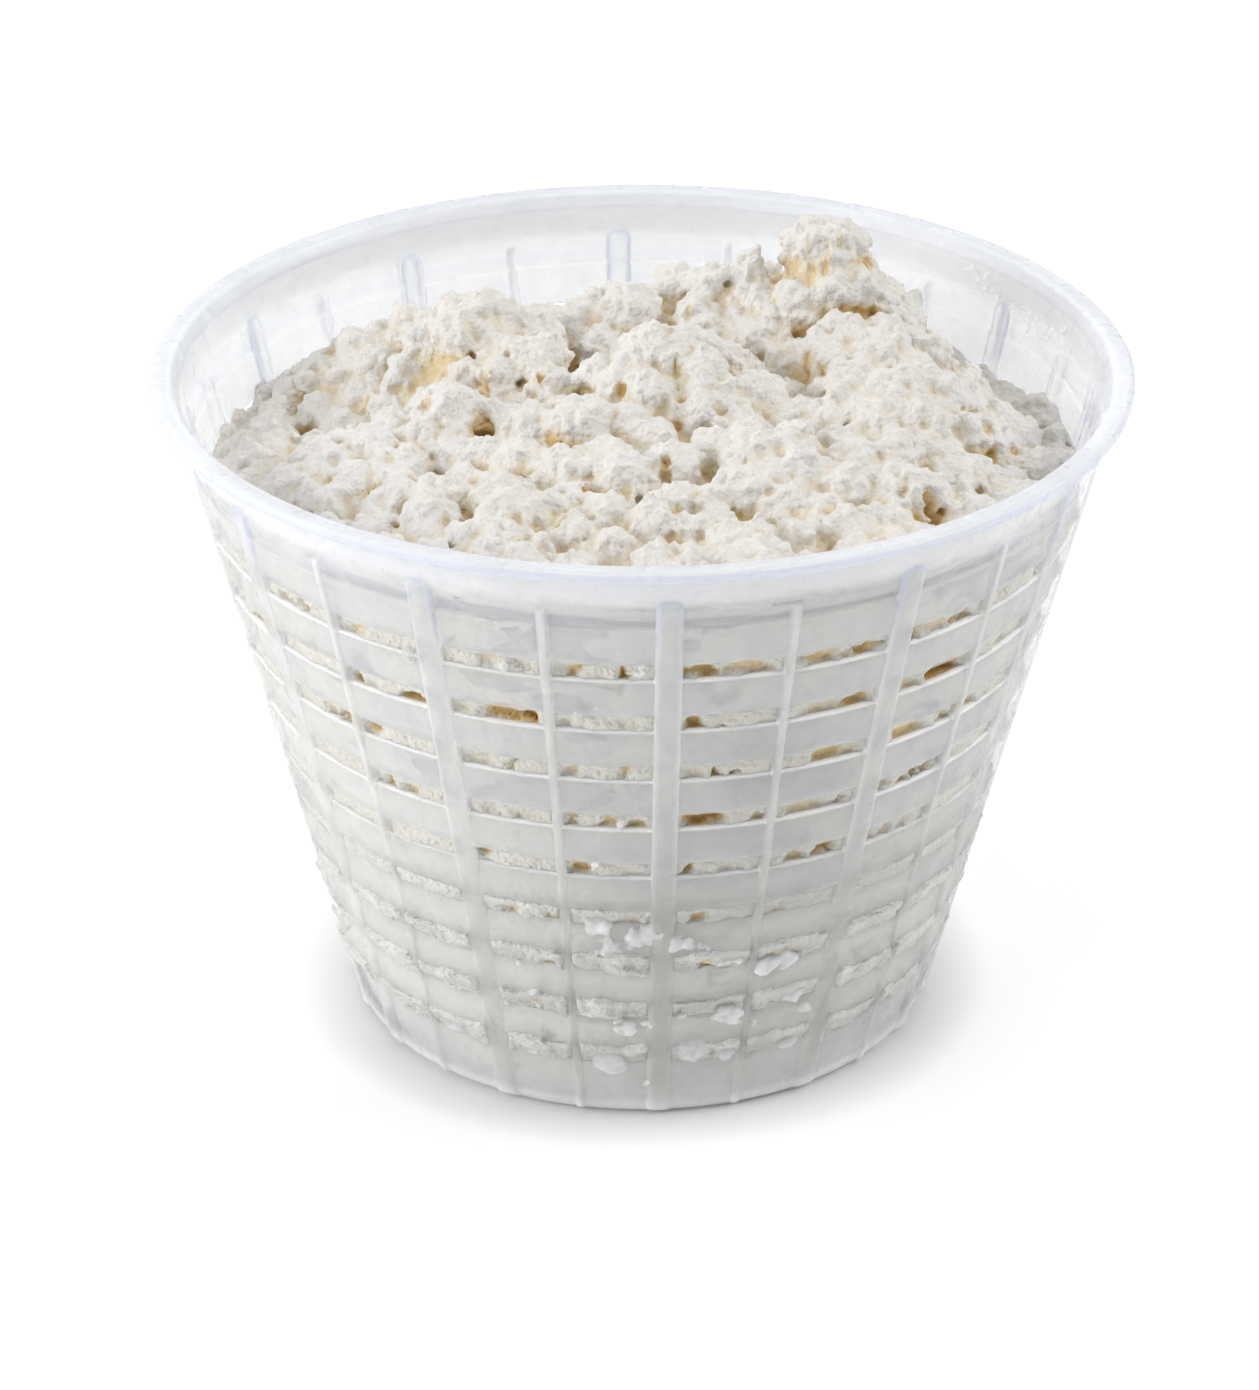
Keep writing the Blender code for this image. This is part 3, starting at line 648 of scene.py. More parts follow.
def averaged(F, links, times, share=1.0):
    """Each point moved towards the mean of its neighbours, again and again."""
    a, b, n = links
    count = np.maximum(np.bincount(a, minlength=n), 1)
    for _ in range(times):
        cols = F.reshape(n, -1)
        mean = np.stack([np.bincount(a, weights=cols[b, k], minlength=n) / count for k in range(cols.shape[1])], -1)
        F = (cols + share * (mean - cols)).reshape(F.shape)
    return F


def point_normals(P, quads):
    n = np.cross(P[quads[:, 2]] - P[quads[:, 0]], P[quads[:, 3]] - P[quads[:, 1]])
    out = np.stack([sum(np.bincount(quads[:, c], weights=n[:, k], minlength=len(P)) for c in range(4)) for k in range(3)], -1)
    return out / (np.linalg.norm(out, axis=1, keepdims=True) + 1e-12)


def heap_bed():
    """The heap's broad shape without its clumps, as a closed solid a little below the real surface."""
    n_r, n_t = 84, 300
    theta = np.linspace(0, math.tau, n_t, endpoint=False)
    share = np.linspace(0, 1, n_r + 1)[1:]
    edge = contact_z(theta + math.pi / 2)
    edge_r = inner_r(edge) + 0.3
    x = share[:, None] * (edge_r * np.cos(theta))[None]
    y = share[:, None] * (edge_r * np.sin(theta))[None]
    flat = np.stack([x, y, np.zeros_like(x)], -1)
    z = heap_z(x + 1.1 * fractal(flat, 8.0, 71, 2), y + 1.1 * fractal(flat, 8.0, 72, 2))
    # the peak's neck is thin, and a steep face falls to the right of the middle mass
    away = np.hypot(x - 22.5, y - 20.5)
    z = z - 3.4 * np.exp(-((away / 4.2) ** 2))
    x0, y0, x1, y1, half, depth = 10.6, 1.5, 10.0, -15.0, 1.8, 1.9
    along = np.clip(((x - x0) * (x1 - x0) + (y - y0) * (y1 - y0)) / ((x1 - x0) ** 2 + (y1 - y0) ** 2), 0, 1)
    z = z - depth * np.exp(-((np.hypot(x - x0 - along * (x1 - x0), y - y0 - along * (y1 - y0)) / half) ** 2))
    z = np.maximum(z - BED_DROP * np.minimum(1.0, (1 - share[:, None]) / 0.05), edge[None] - 1.2)
    top = np.stack([x, y, z], -1)
    low = 64.0
    foot = np.stack([(inner_r(low) + 0.3) * np.cos(theta), (inner_r(low) + 0.3) * np.sin(theta), np.full(n_t, low)], -1)
    points = np.concatenate([top.reshape(-1, 3), foot, [[0, 0, heap_z(np.array([0.0]), np.array([0.0]))[0] - BED_DROP], [0, 0, low]]])
    index = np.arange(n_r * n_t).reshape(n_r, n_t)
    nxt = np.roll(index, -1, axis=1)
    a, b, c, d = index[:-1].ravel(), index[1:].ravel(), nxt[1:].ravel(), nxt[:-1].ravel()
    foot_at = n_r * n_t + np.arange(n_t)
    foot_next = np.roll(foot_at, -1)
    centre, bottom = n_r * n_t + n_t, n_r * n_t + n_t + 1
    tris = [
        np.stack([a, b, c], -1), np.stack([a, c, d], -1),
        np.stack([np.full(n_t, centre), index[0], nxt[0]], -1),
        np.stack([index[-1], foot_at, foot_next], -1), np.stack([index[-1], foot_next, nxt[-1]], -1),
        np.stack([np.full(n_t, bottom), foot_next, foot_at], -1),
    ]
    return points, np.concatenate(tris)


def heap_skin(voxel):
    """Clumps on the bed, smaller knobs on the clumps, and grains over all of it, fused into one skin."""
    rng = np.random.default_rng(20261)
    seen = np.array(CLUMPS)
    core = [seen[:, :3] + SIGHT * (0.62 * seen[:, 3:4])]
    size = [seen[:, 3] * 0.90]
    # where the photo shows nothing, behind and between, clumps of the same kind
    gx, gy = np.meshgrid(np.arange(-54, 55, 4.6), np.arange(-54, 55, 4.6), indexing="ij")
    spots = np.stack([gx.ravel(), gy.ravel()], -1) + rng.uniform(-1.7, 1.7, (gx.size, 2))
    spots = spots[np.hypot(*spots.T) < 52.5]
    gap = np.hypot(spots[:, None, 0] - core[0][None, :, 0], spots[:, None, 1] - core[0][None, :, 1])
    spots = spots[(gap - size[0][None]).min(1) > 1.6]
    spots = spots[np.hypot(spots[:, 0] - 23.0, spots[:, 1] - 20.5) > 6.0]
    radius = rng.uniform(1.7, 3.3, len(spots))
    core.append(np.stack([*spots.T, heap_z(*spots.T) - radius * 0.62], -1))
    size.append(radius)
    peak = np.array(PEAK)
    core.append(peak[:, :3])
    size.append(peak[:, 3])
    core, size = np.concatenate(core), np.concatenate(size)
    # knobs on each clump
    many = np.clip((8.0 * (size / 2.0) ** 1.6).astype(int), 4, 36)
    own = np.repeat(np.arange(len(core)), many)
    way = rng.normal(size=(len(own), 3))
    way[:, 2] = np.abs(way[:, 2]) * 0.9 - 0.25
    way /= np.linalg.norm(way, axis=1, keepdims=True)
    knob_r = np.clip(size[own] * rng.uniform(0.22, 0.42, len(own)), 0.5, 1.35)
    knob = core[own] + way * (size[own] * rng.uniform(0.78, 0.95, len(own)))[:, None]
    bed = heap_bed()
    solid = [bed, ball_cloud(core, size, 4, rng), ball_cloud(knob, knob_r, 3, rng)]
    rough_P, rough_q = fused(*joined(solid), 0.85)
    rough_n = point_normals(rough_P, rough_q)
    edge = contact_z(np.arctan2(rough_P[:, 1], rough_P[:, 0]) + math.pi / 2)
    keep = (rough_P[:, 2] > edge - 1.2) & (rough_n[:, 2] > -0.75)
    keep &= rng.uniform(size=len(keep)) < 0.55
    at, out = rough_P[keep], rough_n[keep]
    coarse = smooth(fractal(at, 16.0, 11, 2), -0.35, 0.35)
    draw = rng.uniform(size=len(at))
    grain_r = 0.42 + 0.18 * draw + 0.35 * coarse * draw**3 + 0.08 * coarse
    grain = at + rng.uniform(-0.35, 0.35, at.shape) + out * (grain_r * rng.uniform(-0.10, 0.42, len(at)))[:, None]
    solid.append(ball_cloud(grain, grain_r, 2, rng))
    print("balls", len(core), len(knob), len(grain))
    P, quads = fused(*joined(solid), voxel)
    return P, quads, core


def shell_of(P, quads, keep_face):
    """The faces kept, and the open edges they leave as closed loops."""
    faces = quads[keep_face]
    a, b = faces.ravel(), np.roll(faces, -1, axis=1).ravel()
    n = len(P)
    there = np.sort(a * n + b)
    back = b * n + a
    found = there[np.minimum(np.searchsorted(there, back), len(there) - 1)] == back
    open_a, open_b = a[~found], b[~found]
    after = {}
    for i, j in zip(open_a.tolist(), open_b.tolist()):
        after.setdefault(i, []).append(j)
    loops = []
    while after:
        start = next(iter(after))
        loop, at = [start], start
        while True:
            options = after[at]
            nxt = options.pop()
            if not options:
                del after[at]
            if nxt == start or nxt not in after:
                break
            loop.append(nxt)
            at = nxt
        loops.append(loop)
    return faces, sorted(loops, key=len, reverse=True)


def build_top():
    """The heap, in three pieces that meet along the creases between clumps."""
    P, quads, core = heap_skin(0.355)
    links = quad_links(quads, len(P))
    P = averaged(P, links, 1, 0.3)
    normal = point_normals(P, quads)
    pit_shade = np.zeros(len(P))
    for px, py, pz, radius, warm_shade, depth in PITS:
        near_by = np.nonzero(np.hypot(P[:, 0] - px, P[:, 1] - py) < radius + 2.2)[0]
        Q = P[near_by]
        flat = Q * np.array([1, 1, 0])
        near = np.hypot(Q[:, 0] - px + 0.4 * value_noise(flat, 1.2, 77), (Q[:, 1] - py) * 0.85 + 0.4 * value_noise(flat, 1.2, 78))
        mask = smooth(1.0 - near / (0.8 * radius + 0.25), 0.0, 0.75) * smooth(normal[near_by, 2], -0.2, 0.3)
        P[near_by] = Q - normal[near_by] * (0.45 * depth * mask)[:, None]
        pit_shade[near_by] = np.maximum(pit_shade[near_by], 0.9 * warm_shade * smooth(1.0 - near / (0.8 * radius + 0.3), 0.05, 0.9))
    # what would pass through the wall is pressed flat against it
    rad = np.hypot(P[:, 0], P[:, 1])
    limit = inner_r(P[:, 2]) + 0.12
    P[:, :2] *= np.minimum(1.0, limit / np.maximum(rad, 1e-6))[:, None]
    normal = point_normals(P, quads)
    dip = [np.einsum("ij,ij->i", averaged(P, links, times) - P, normal) for times in (7, 36)]
    # how far each point lies below the tops round it
    step, span = 0.7, 170
    cell = np.clip(((P[:, :2] + 0.5 * span * step) / step).astype(int), 0, span - 1)
    tops = np.full((span, span), 60.0)
    np.maximum.at(tops, (cell[:, 0], cell[:, 1]), P[:, 2])
    lid = blurred(tops, 2)
    below = np.clip(lid[cell[:, 0], cell[:, 1]] - P[:, 2], -3.0, 6.0)
    inner = smooth(56.0 - np.hypot(P[:, 0], P[:, 1]), 1.5, 5.0)
    # hollow: how far a point lies in a crease; the material paints a warmer, darker shade there
    hollow = np.clip(dip[0] / 0.30, -1, 1) * 0.35 + np.clip(dip[1] / 0.8, -1, 1) * 0.50 + np.clip(below / 1.6, -1, 1) * 0.45 * inner
    # painted shade: the deepest gaps between clumps are painted dark ochre
    hollow = averaged(hollow, links, 2)
    gap = smooth(below, 1.0, 2.6) * inner * (0.45 + 0.55 * smooth(value_noise(P, 9.0, 91), -0.4, 0.5))
    pit_shade = np.maximum(pit_shade, 0.85 * gap)
    pit_shade = averaged(pit_shade, links, 2)

    edge = contact_z(np.arctan2(P[:, 1], P[:, 0]) + math.pi / 2)
    upper = P[:, 2] > edge - 1.7
    # each point goes with its nearest clump, and each clump with one piece
    mine = np.zeros(len(P), int)
    for k in range(0, len(P), 20000):
        gap = ((P[k : k + 20000, None, :] - core[None]) ** 2).sum(-1)
        mine[k : k + 20000] = gap.argmin(1)
    third = np.digitize(core[mine, 0], (-15.6, 14.4))
    pieces = []
    for name, side in (("ricotta_heap_left", third == 0), ("ricotta_heap_middle", third == 1), ("ricotta_heap_right", third == 2)):
        # each reaches a little way under the other, sinking as it goes
        reach = side.astype(float)
        steps = side.astype(float)
        for _ in range(5):
            steps = np.maximum(steps, (averaged(steps, links, 1) > 0.01).astype(float))
            reach += steps
        depth_in = np.where(side, 0.0, 6.0 - reach)
        keep_face = (upper[quads].any(1)) & ((reach[quads] > 0).all(1))
        faces, loops = shell_of(P, quads, keep_face)
        Q = P - normal * (0.06 * np.maximum(depth_in, 0))[:, None]
        used = np.unique(faces)
        new = np.full(len(P), -1)
        new[used] = np.arange(len(used))
        points = Q[used]
        holl, dee, nor = hollow[used], pit_shade[used], normal[used]
        faces = new[faces]
        middle = points.mean(0)
        for which, loop in enumerate(loops):
            ring = new[np.array(loop)]
            if which:
                if len(ring) < 3:
                    continue
                tip = len(points)
                points = np.concatenate([points, [points[ring].mean(0) - nor[ring].mean(0) * 0.3]])
                holl, dee = np.append(holl, 0.5), np.append(dee, 0)
                pad = np.roll(ring, -1)
                extra = np.stack([pad, ring, np.full(len(ring), tip), np.full(len(ring), tip)], -1)
            else:
                extra = None
                rings = [ring]
                for inward, drop in ((-0.15, 1.0), (-0.1, 4.5), (4.0, 8.5)):
                    low = points[ring].copy()
                    to = middle[None, :2] - low[:, :2]
                    low[:, :2] += to / np.maximum(np.linalg.norm(to, axis=1, keepdims=True), 1e-6) * inward
                    low[:, 2] = np.maximum(low[:, 2] - drop, 62.5)
                    rr = np.hypot(low[:, 0], low[:, 1])
                    low[:, :2] *= np.minimum(1.0, (inner_r(low[:, 2]) - 0.1) / rr)[:, None]
                    rings.append(np.arange(len(points), len(points) + len(ring)))
                    points = np.concatenate([points, low])
                    holl, dee = np.concatenate([holl, np.zeros(len(ring))]), np.concatenate([dee, np.zeros(len(ring))])
                walls = [np.stack([np.roll(u, -1), u, v, np.roll(v, -1)], -1) for u, v in zip(rings, rings[1:])]
                tip = len(points)
                points = np.concatenate([points, [[middle[0], middle[1], 62.0]]])
                holl, dee = np.append(holl, 0), np.append(dee, 0)
                last = rings[-1]
                walls.append(np.stack([np.roll(last, -1), last, np.full(len(last), tip), np.full(len(last), tip)], -1))
                extra = np.concatenate(walls)
            faces = np.concatenate([faces, extra])
        made = clean_mesh(name, points, faces, {"hollow": holl, "pit_shade": dee}, nor)
        pieces.append(made)
    return pieces


def clean_mesh(name, points_mm, faces, attributes, normals):
    """Quads, of which some repeat their last corner and so are triangles."""
    mesh = bpy.data.meshes.new(name)
    three = faces[:, 2] == faces[:, 3]
    corners = np.where(three, 3, 4)
    start = np.concatenate([[0], np.cumsum(corners)[:-1]])
    flat = faces[~np.stack([np.zeros_like(three)] * 3 + [three], -1)]
    mesh.vertices.add(len(points_mm))
    mesh.vertices.foreach_set("co", (np.asarray(points_mm) * MM).astype(np.float32).ravel())
    mesh.loops.add(len(flat))
    mesh.loops.foreach_set("vertex_index", flat.astype(np.int32))
    mesh.polygons.add(len(faces))
    mesh.polygons.foreach_set("loop_start", start.astype(np.int32))
    mesh.polygons.foreach_set("loop_total", corners.astype(np.int32))
    mesh.update(calc_edges=True)
    for key, values in attributes.items():
        layer = mesh.attributes.new(key, "FLOAT", "POINT")
        layer.data.foreach_set("value", np.asarray(values, np.float32).ravel())
    mesh.polygons.foreach_set("use_smooth", np.full(len(mesh.polygons), True))
    mesh.update()
    own = np.empty(len(mesh.vertices) * 3, np.float32)
    mesh.vertices.foreach_get("normal", own)
    own = own.reshape(-1, 3)
    own[: len(normals)] = normals
    mesh.normals_split_custom_set_from_vertices(own.tolist())
    thing = bpy.data.objects.new(name, mesh)
    bpy.context.scene.collection.objects.link(thing)
    return thing


def slot_mask(z, theta, over):
    """How much of a slot lies at a place on the wall: 0 on a slat or rib, 1 in the middle of a slot."""
    row = (FIRST_Z - z) / PITCH
    near = np.round(row + 0.5 * SLOT_H / PITCH)
    near = np.clip(near, 1, ROWS - 1)
    top = FIRST_Z - near * PITCH
    up = (z - top) / SLOT_H
    # low down the curd has been pressed out over the edges here and there
    spread = 0.30 * (1 - smooth(z, 24, 40)) * (0.65 + 0.35 * np.sin(7.0 * theta + 3.0 * near) * np.sin(17.0 * theta + 1.3 * near))
    across = np.clip(np.minimum((up + 0.16 + 0.55 * over) / (0.10 + 0.2 * over), (1.06 + spread + 0.55 * over - up) / (0.12 + 0.3 * over)), 0.0, 1.0)
    around = np.mod(theta + math.pi / 2 - TURN, math.pi / 6)
    r = inner_r(z)
    from_wide = np.minimum(around, math.pi / 6 - around) * r - half_width(z, True)
    from_thin = np.abs(around - math.pi / 12) * r - half_width(z, False)
    along = np.clip((np.minimum(from_wide, from_thin) + 0.40) / 0.3, 0.0, 1.0)
    return across * along, up


# hollows in the curd seen through the slots of the front: degrees from the front, height, half width, half height, depth
POCKETS = (
    (-19.0, 70.5, 1.1, 1.0, 0.5), (-14.8, 70.1, 0.6, 1.0, 0.35), (-8.7, 70.0, 1.3, 0.8, 0.7), (-2.4, 69.8, 1.1, 0.9, 1.0),
    (7.2, 69.5, 2.0, 1.0, 0.9), (12.7, 70.0, 3.5, 1.0, 0.6), (22.0, 69.9, 2.6, 1.2, 0.7), (26.0, 69.5, 1.2, 0.8, 0.5),
    (29.0, 69.4, 1.7, 0.9, 0.8), (36.0, 69.6, 1.0, 1.0, 0.9), (39.7, 70.2, 2.8, 1.0, 0.5), (44.2, 69.5, 1.7, 0.9, 0.9),
    (-38.0, 70.0, 1.2, 0.8, 0.6), (-47.6, 69.8, 1.0, 0.7, 0.8), (-50.9, 69.8, 1.2, 0.7, 0.8), (62.0, 69.6, 1.5, 0.8, 0.6),
    (-23.7, 62.6, 0.8, 0.9, 0.4), (-17.8, 62.3, 4.1, 1.4, 0.9), (-15.1, 62.1, 1.0, 1.0, 1.3), (-9.7, 62.1, 0.8, 0.7, 0.4),
    (-1.0, 62.5, 1.7, 0.9, 0.3), (6.8, 62.2, 0.8, 1.1, 0.9), (10.0, 61.8, 0.4, 0.6, 0.6), (23.7, 61.9, 3.5, 1.3, 0.45),
    (27.9, 62.4, 1.2, 0.8, 0.8), (-30.8, 61.8, 2.0, 0.9, 0.9), (-37.4, 61.9, 1.2, 1.0, 0.3), (-40.3, 61.9, 1.0, 1.1, 1.0),
    (-58.8, 62.6, 1.9, 0.9, 0.5), (-63.2, 62.4, 2.4, 1.0, 0.5), (28.5, 61.7, 1.8, 1.2, 0.8), (36.9, 61.7, 2.0, 1.0, 0.5),
    (43.0, 61.9, 3.3, 1.5, 1.1), (55.0, 62.0, 1.2, 0.8, 0.5), (-22.4, 55.0, 1.5, 0.8, 0.3), (-17.0, 55.0, 0.3, 1.0, 0.6),
    (-9.0, 55.0, 0.9, 1.1, 0.5), (-2.1, 55.4, 0.8, 1.0, 0.6), (6.9, 54.6, 1.4, 1.0, 0.35), (10.3, 54.8, 0.4, 0.6, 0.8),
    (12.5, 54.4, 0.5, 0.6, 0.8), (25.2, 54.7, 2.4, 1.4, 0.7), (28.7, 54.9, 1.4, 1.3, 0.5), (38.7, 54.7, 3.2, 1.4, 0.7),
    (45.1, 54.6, 1.2, 1.2, 0.6), (51.2, 54.4, 2.0, 1.0, 0.6), (-39.5, 55.0, 1.1, 0.7, 0.8), (-44.5, 54.6, 1.2, 0.9, 0.8),
    (-48.1, 54.9, 1.3, 0.6, 0.8), (-21.7, 47.8, 1.3, 0.8, 0.3), (-15.5, 47.6, 1.5, 0.9, 0.3), (-9.4, 47.7, 0.6, 0.8, 0.6),
    (-4.5, 47.4, 0.8, 0.8, 0.6), (-0.3, 47.1, 0.9, 0.6, 0.6), (8.8, 47.7, 3.2, 1.1, 1.0), (16.1, 46.8, 0.8, 0.8, 0.5),
    (23.5, 47.2, 3.6, 1.3, 0.5), (28.8, 47.5, 1.0, 0.8, 0.8), (-35.5, 47.0, 1.1, 0.6, 0.6), (-39.1, 47.6, 1.1, 0.8, 0.8),
    (36.6, 47.3, 0.8, 0.7, 0.6), (40.3, 47.0, 0.9, 0.7, 0.7), (42.8, 47.0, 0.8, 0.7, 0.8), (45.9, 47.1, 0.9, 0.7, 0.9),
    (-23.3, 40.1, 0.6, 0.6, 0.7), (-9.1, 40.0, 1.2, 1.0, 0.8), (-7.1, 41.0, 0.8, 0.8, 0.4), (-1.4, 39.7, 1.2, 0.6, 0.35),
    (6.7, 40.0, 1.0, 0.9, 0.9), (13.4, 39.8, 2.0, 0.8, 0.3), (23.2, 39.9, 1.4, 1.0, 0.6), (27.9, 40.0, 1.2, 0.8, 0.9),
    (35.8, 39.7, 1.8, 0.6, 0.4), (38.9, 40.0, 1.1, 0.9, 0.4), (42.8, 40.2, 1.2, 0.9, 0.4), (-20.6, 32.4, 0.5, 0.7, 0.7),
    (-14.1, 31.9, 0.6, 0.5, 0.9), (-2.4, 31.9, 2.4, 0.6, 0.5), (4.2, 32.0, 0.8, 0.9, 0.4), (8.2, 32.3, 1.1, 0.6, 0.9),
    (21.4, 32.4, 1.5, 0.8, 0.4), (-15.1, 24.8, 0.9, 0.8, 0.8), (-1.6, 25.2, 0.9, 0.8, 0.4), (10.4, 25.1, 0.8, 0.7, 1.0),
    (22.9, 24.9, 2.8, 0.9, 0.7), (-19.2, 17.6, 1.5, 0.7, 0.6), (-3.2, 17.7, 2.0, 0.4, 0.5), (6.4, 17.6, 0.4, 0.6, 0.4),
    (14.8, 17.7, 1.1, 0.8, 0.5), (21.4, 17.2, 2.3, 1.0, 0.45), (12.6, 10.4, 0.6, 0.8, 0.4),
)


def side_rows():
    """Heights of the curd's rings behind the wall: close together in each row of slots, wider behind the slats."""
    rows = list(np.linspace(2.3, 8.4, 8))
    for row in range(9, 0, -1):
        top = FIRST_Z - PITCH * row
        rows += [top - 0.42, top - 0.20, *np.linspace(top - 0.05, top + SLOT_H + 0.05, 9), top + SLOT_H + 0.40]
        if row > 1:
            rows += list(np.linspace(top + SLOT_H + 0.40, top + PITCH - 0.42, 5)[1:-1])
    return np.array(rows)


def build_side():
    n_t, n_top = 560, 24
    theta = np.linspace(0, math.tau, n_t, endpoint=False)
    edge = contact_z(theta + math.pi / 2) - 0.5
    fixed = side_rows()
    fixed = fixed[fixed < 68.0]
    share = np.linspace(0, 1, n_top + 1)[1:]
    z = np.concatenate([np.repeat(fixed[:, None], n_t, axis=1), 68.0 + np.maximum(edge - 68.0, 0.4)[None, :] * share[:, None]])
    n_z = len(z)
    th = np.repeat(theta[None, :], n_z, axis=0)
    r = inner_r(z)
    C = np.stack([r * np.cos(th), r * np.sin(th), z], -1)
    front_half = np.clip(-np.sin(th), 0.0, 1.0)
    over = smooth(value_noise(C * np.array([1, 1, 1.5]), 4.2, 66) + 0.5 * value_noise(C, 1.8, 67), -0.05, 0.45) * (1 - smooth(z, 24, 38)) * (0.35 + 0.65 * front_half)
    slot, up = slot_mask(z, th, over)
    lower = 1 - smooth(z, 24, 50)
    bend = np.stack([value_noise(C, 2.0, 51 + k) for k in range(3)], -1)
    grain = grains(C + 0.5 * bend, 2.4, 53, 0.45, 0.9) * 2.4
    fine = grains(C + 0.2 * bend, 1.2, 54, 0.45, 0.9) * 1.2
    patch = fractal(C * np.array([1, 1, 1.6]), 9.0, 55, 3)
    # hollows: those that show at the front, and others all round the back
    hole = np.zeros_like(z)
    front = (np.degrees(th) + 90.0 + 180.0) % 360.0 - 180.0
    wobble_t = 0.9 * value_noise(C, 1.6, 61) + 0.5 * value_noise(C, 0.8, 62)
    wobble_z = 0.5 * value_noise(C, 1.6, 63) + 0.3 * value_noise(C, 0.8, 64)
    for at, high, half_w, half_h, depth in POCKETS:
        across = (front - at + 180.0) % 360.0 - 180.0
        across = np.radians(across) * r
        near = np.hypot((across + wobble_t) / (0.85 * half_w + 0.1), (z - high + 0.45 + wobble_z) / (0.85 * half_h + 0.35))
        hole = np.maximum(hole, depth * smooth(1.2 - near, 0.0, 0.6))
    behind = smooth(np.abs(front), 66.0, 74.0)
    loose = smooth(fractal(C * np.array([1, 1, 2.0]), 5.5, 57, 2), 0.20, 0.42) * (1 - 0.45 * lower)
    hole = np.maximum(hole, behind * loose)
    # against the slats the curd is pressed flat, with shallow air pockets here and there
    pocket = smooth(patch, 0.05, 0.5)
    against = 0.16 - pocket * (0.25 + 0.35 * (1.0 - grain / 1.8))
    # in the slots it shows its grain and comes forward, most where the weight presses it out
    stick = fractal(C * np.array([1, 1, 2.2]), 6.0, 56, 2)
    lean = smooth(up, 0.1, 0.9)
    upper = 0.66 - 0.10 * lean + 0.13 * stick + (grain - 1.5) * 0.13 + (fine - 0.75) * 0.26
    upper = np.minimum(upper, 0.95)
    # low down the whey has pressed it out level with the slats, over their edges here and there
    level = 1.02 + 0.64 * np.clip(up, -0.1, 1.0) + 0.12 * stick + (grain - 1.5) * 0.10 + (fine - 0.75) * 0.16
    level = level + over * (0.42 + 0.16 * (grain - 1.5) + 0.30 * (fine - 0.75))
    low = 1 - smooth(z + 3.0 * value_noise(C, 12.0, 58), 26, 42)
    free = upper * (1 - low) + level * low
    off = against * (1 - slot) + free * slot
    off = off - hole * 1.6 * (0.25 + 0.75 * slot) * (1 - 0.35 * lean * slot) * (1 - 0.35 * low)
    out = r + off
    around = np.concatenate([off[:, -12:], off, off[:, :12]], axis=1)
    # painted shade for the material: warmer where the curd lies hollow, dark ochre in its pockets
    hollow = np.clip((blurred(around, 4)[:, 12:-12] - off) / 0.9, -1, 1) * (0.4 + 0.6 * slot)
    pit_shade = np.clip(0.85 * hole**1.6, 0, 1.1) * (0.6 + 0.4 * slot) * (1 - 0.55 * low)
    wetness = np.clip(0.15 + 0.85 * (1 - smooth(z + 4.0 * value_noise(C, 9.0, 59), 28, 44)), 0, 1)
    # painted shade: the curd seen in the slots is painted darker, as the basket round it shades it, more so at the
    # front
    slot_shade = slot * (0.72 + 0.28 * (1 - smooth(up, 0.2, 1.0)) + 0.25 * value_noise(C, 3.0, 65)) * (1 - 0.25 * over) * (0.55 + 0.45 * np.maximum(front_half**2, smooth(z, 30, 45)))
    # painted shade: the curd behind the wall is painted darker on the side facing the camera, halfway up
    front_shade = np.clip(-np.sin(th - 0.3), 0.0, 1.0) ** 6 * smooth(z, 22, 36) * (1 - smooth(z, 48, 72)) * (0.8 + 0.4 * value_noise(C, 7.0, 68))
    P = np.stack([out * np.cos(th), out * np.sin(th), z], -1)
    index = np.arange(n_t * n_z).reshape(n_z, n_t)
    nxt = np.roll(index, -1, axis=1)
    quads = np.stack([index[:-1], nxt[:-1], nxt[1:], index[1:]], -1).reshape(-1, 4)
    points = P.reshape(-1, 3)
    hollows, pit_shades, wets, slot_shades = hollow.reshape(-1), pit_shade.reshape(-1), wetness.reshape(-1), np.clip(slot_shade, 0, 1).reshape(-1)
    front_shades = np.clip(front_shade, 0, 1).reshape(-1)

    def add_ring(radius, height):
        nonlocal points, hollows, pit_shades, wets, slot_shades
        made = np.arange(len(points), len(points) + n_t)
        radius, height = np.broadcast_to(radius, n_t), np.broadcast_to(height, n_t)
        points = np.concatenate([points, np.stack([radius * np.cos(theta), radius * np.sin(theta), height], -1)])
        hollows = np.concatenate([hollows, np.zeros(n_t)])
        pit_shades = np.concatenate([pit_shades, np.zeros(n_t)])
        wets = np.concatenate([wets, np.ones(n_t)])
        slot_shades = np.concatenate([slot_shades, np.zeros(n_t)])
        return made

    foot = [index[0], add_ring(inner_r(1.7) - 0.25, 1.7), add_ring(inner_r(1.5) - 1.4, 1.36), add_ring(20.0, 1.36), add_ring(2.0, 1.36)]
    head = [index[-1], add_ring(inner_r(edge) - 3.0, edge - 1.0), add_ring(30.0, edge * 0 + 66.0), add_ring(2.0, 66.0)]
    for lower_ring, upper_ring in [(b, a) for a, b in zip(foot, foot[1:])] + list(zip(head, head[1:])):
        quads = np.concatenate([quads, np.stack([lower_ring, np.roll(lower_ring, -1), np.roll(upper_ring, -1), upper_ring], -1)])
    for ring, z_mid in ((foot[-1], 1.36), (head[-1], 66.0)):
        middle = len(points)
        points = np.concatenate([points, [[0, 0, z_mid]]])
        hollows, pit_shades, wets, slot_shades = np.append(hollows, 0), np.append(pit_shades, 0), np.append(wets, 1), np.append(slot_shades, 0)
        quads = np.concatenate([quads, np.stack([ring[0::2], np.roll(ring, -1)[0::2], np.roll(ring, -2)[0::2], np.full(n_t // 2, middle)], -1)])
    return mesh_object("ricotta_body", points, quads, {"hollow": hollows, "pit_shade": pit_shades, "wetness": wets, "slot_shade": slot_shades, "front_shade": np.pad(front_shades, (0, len(points) - len(front_shades)))})


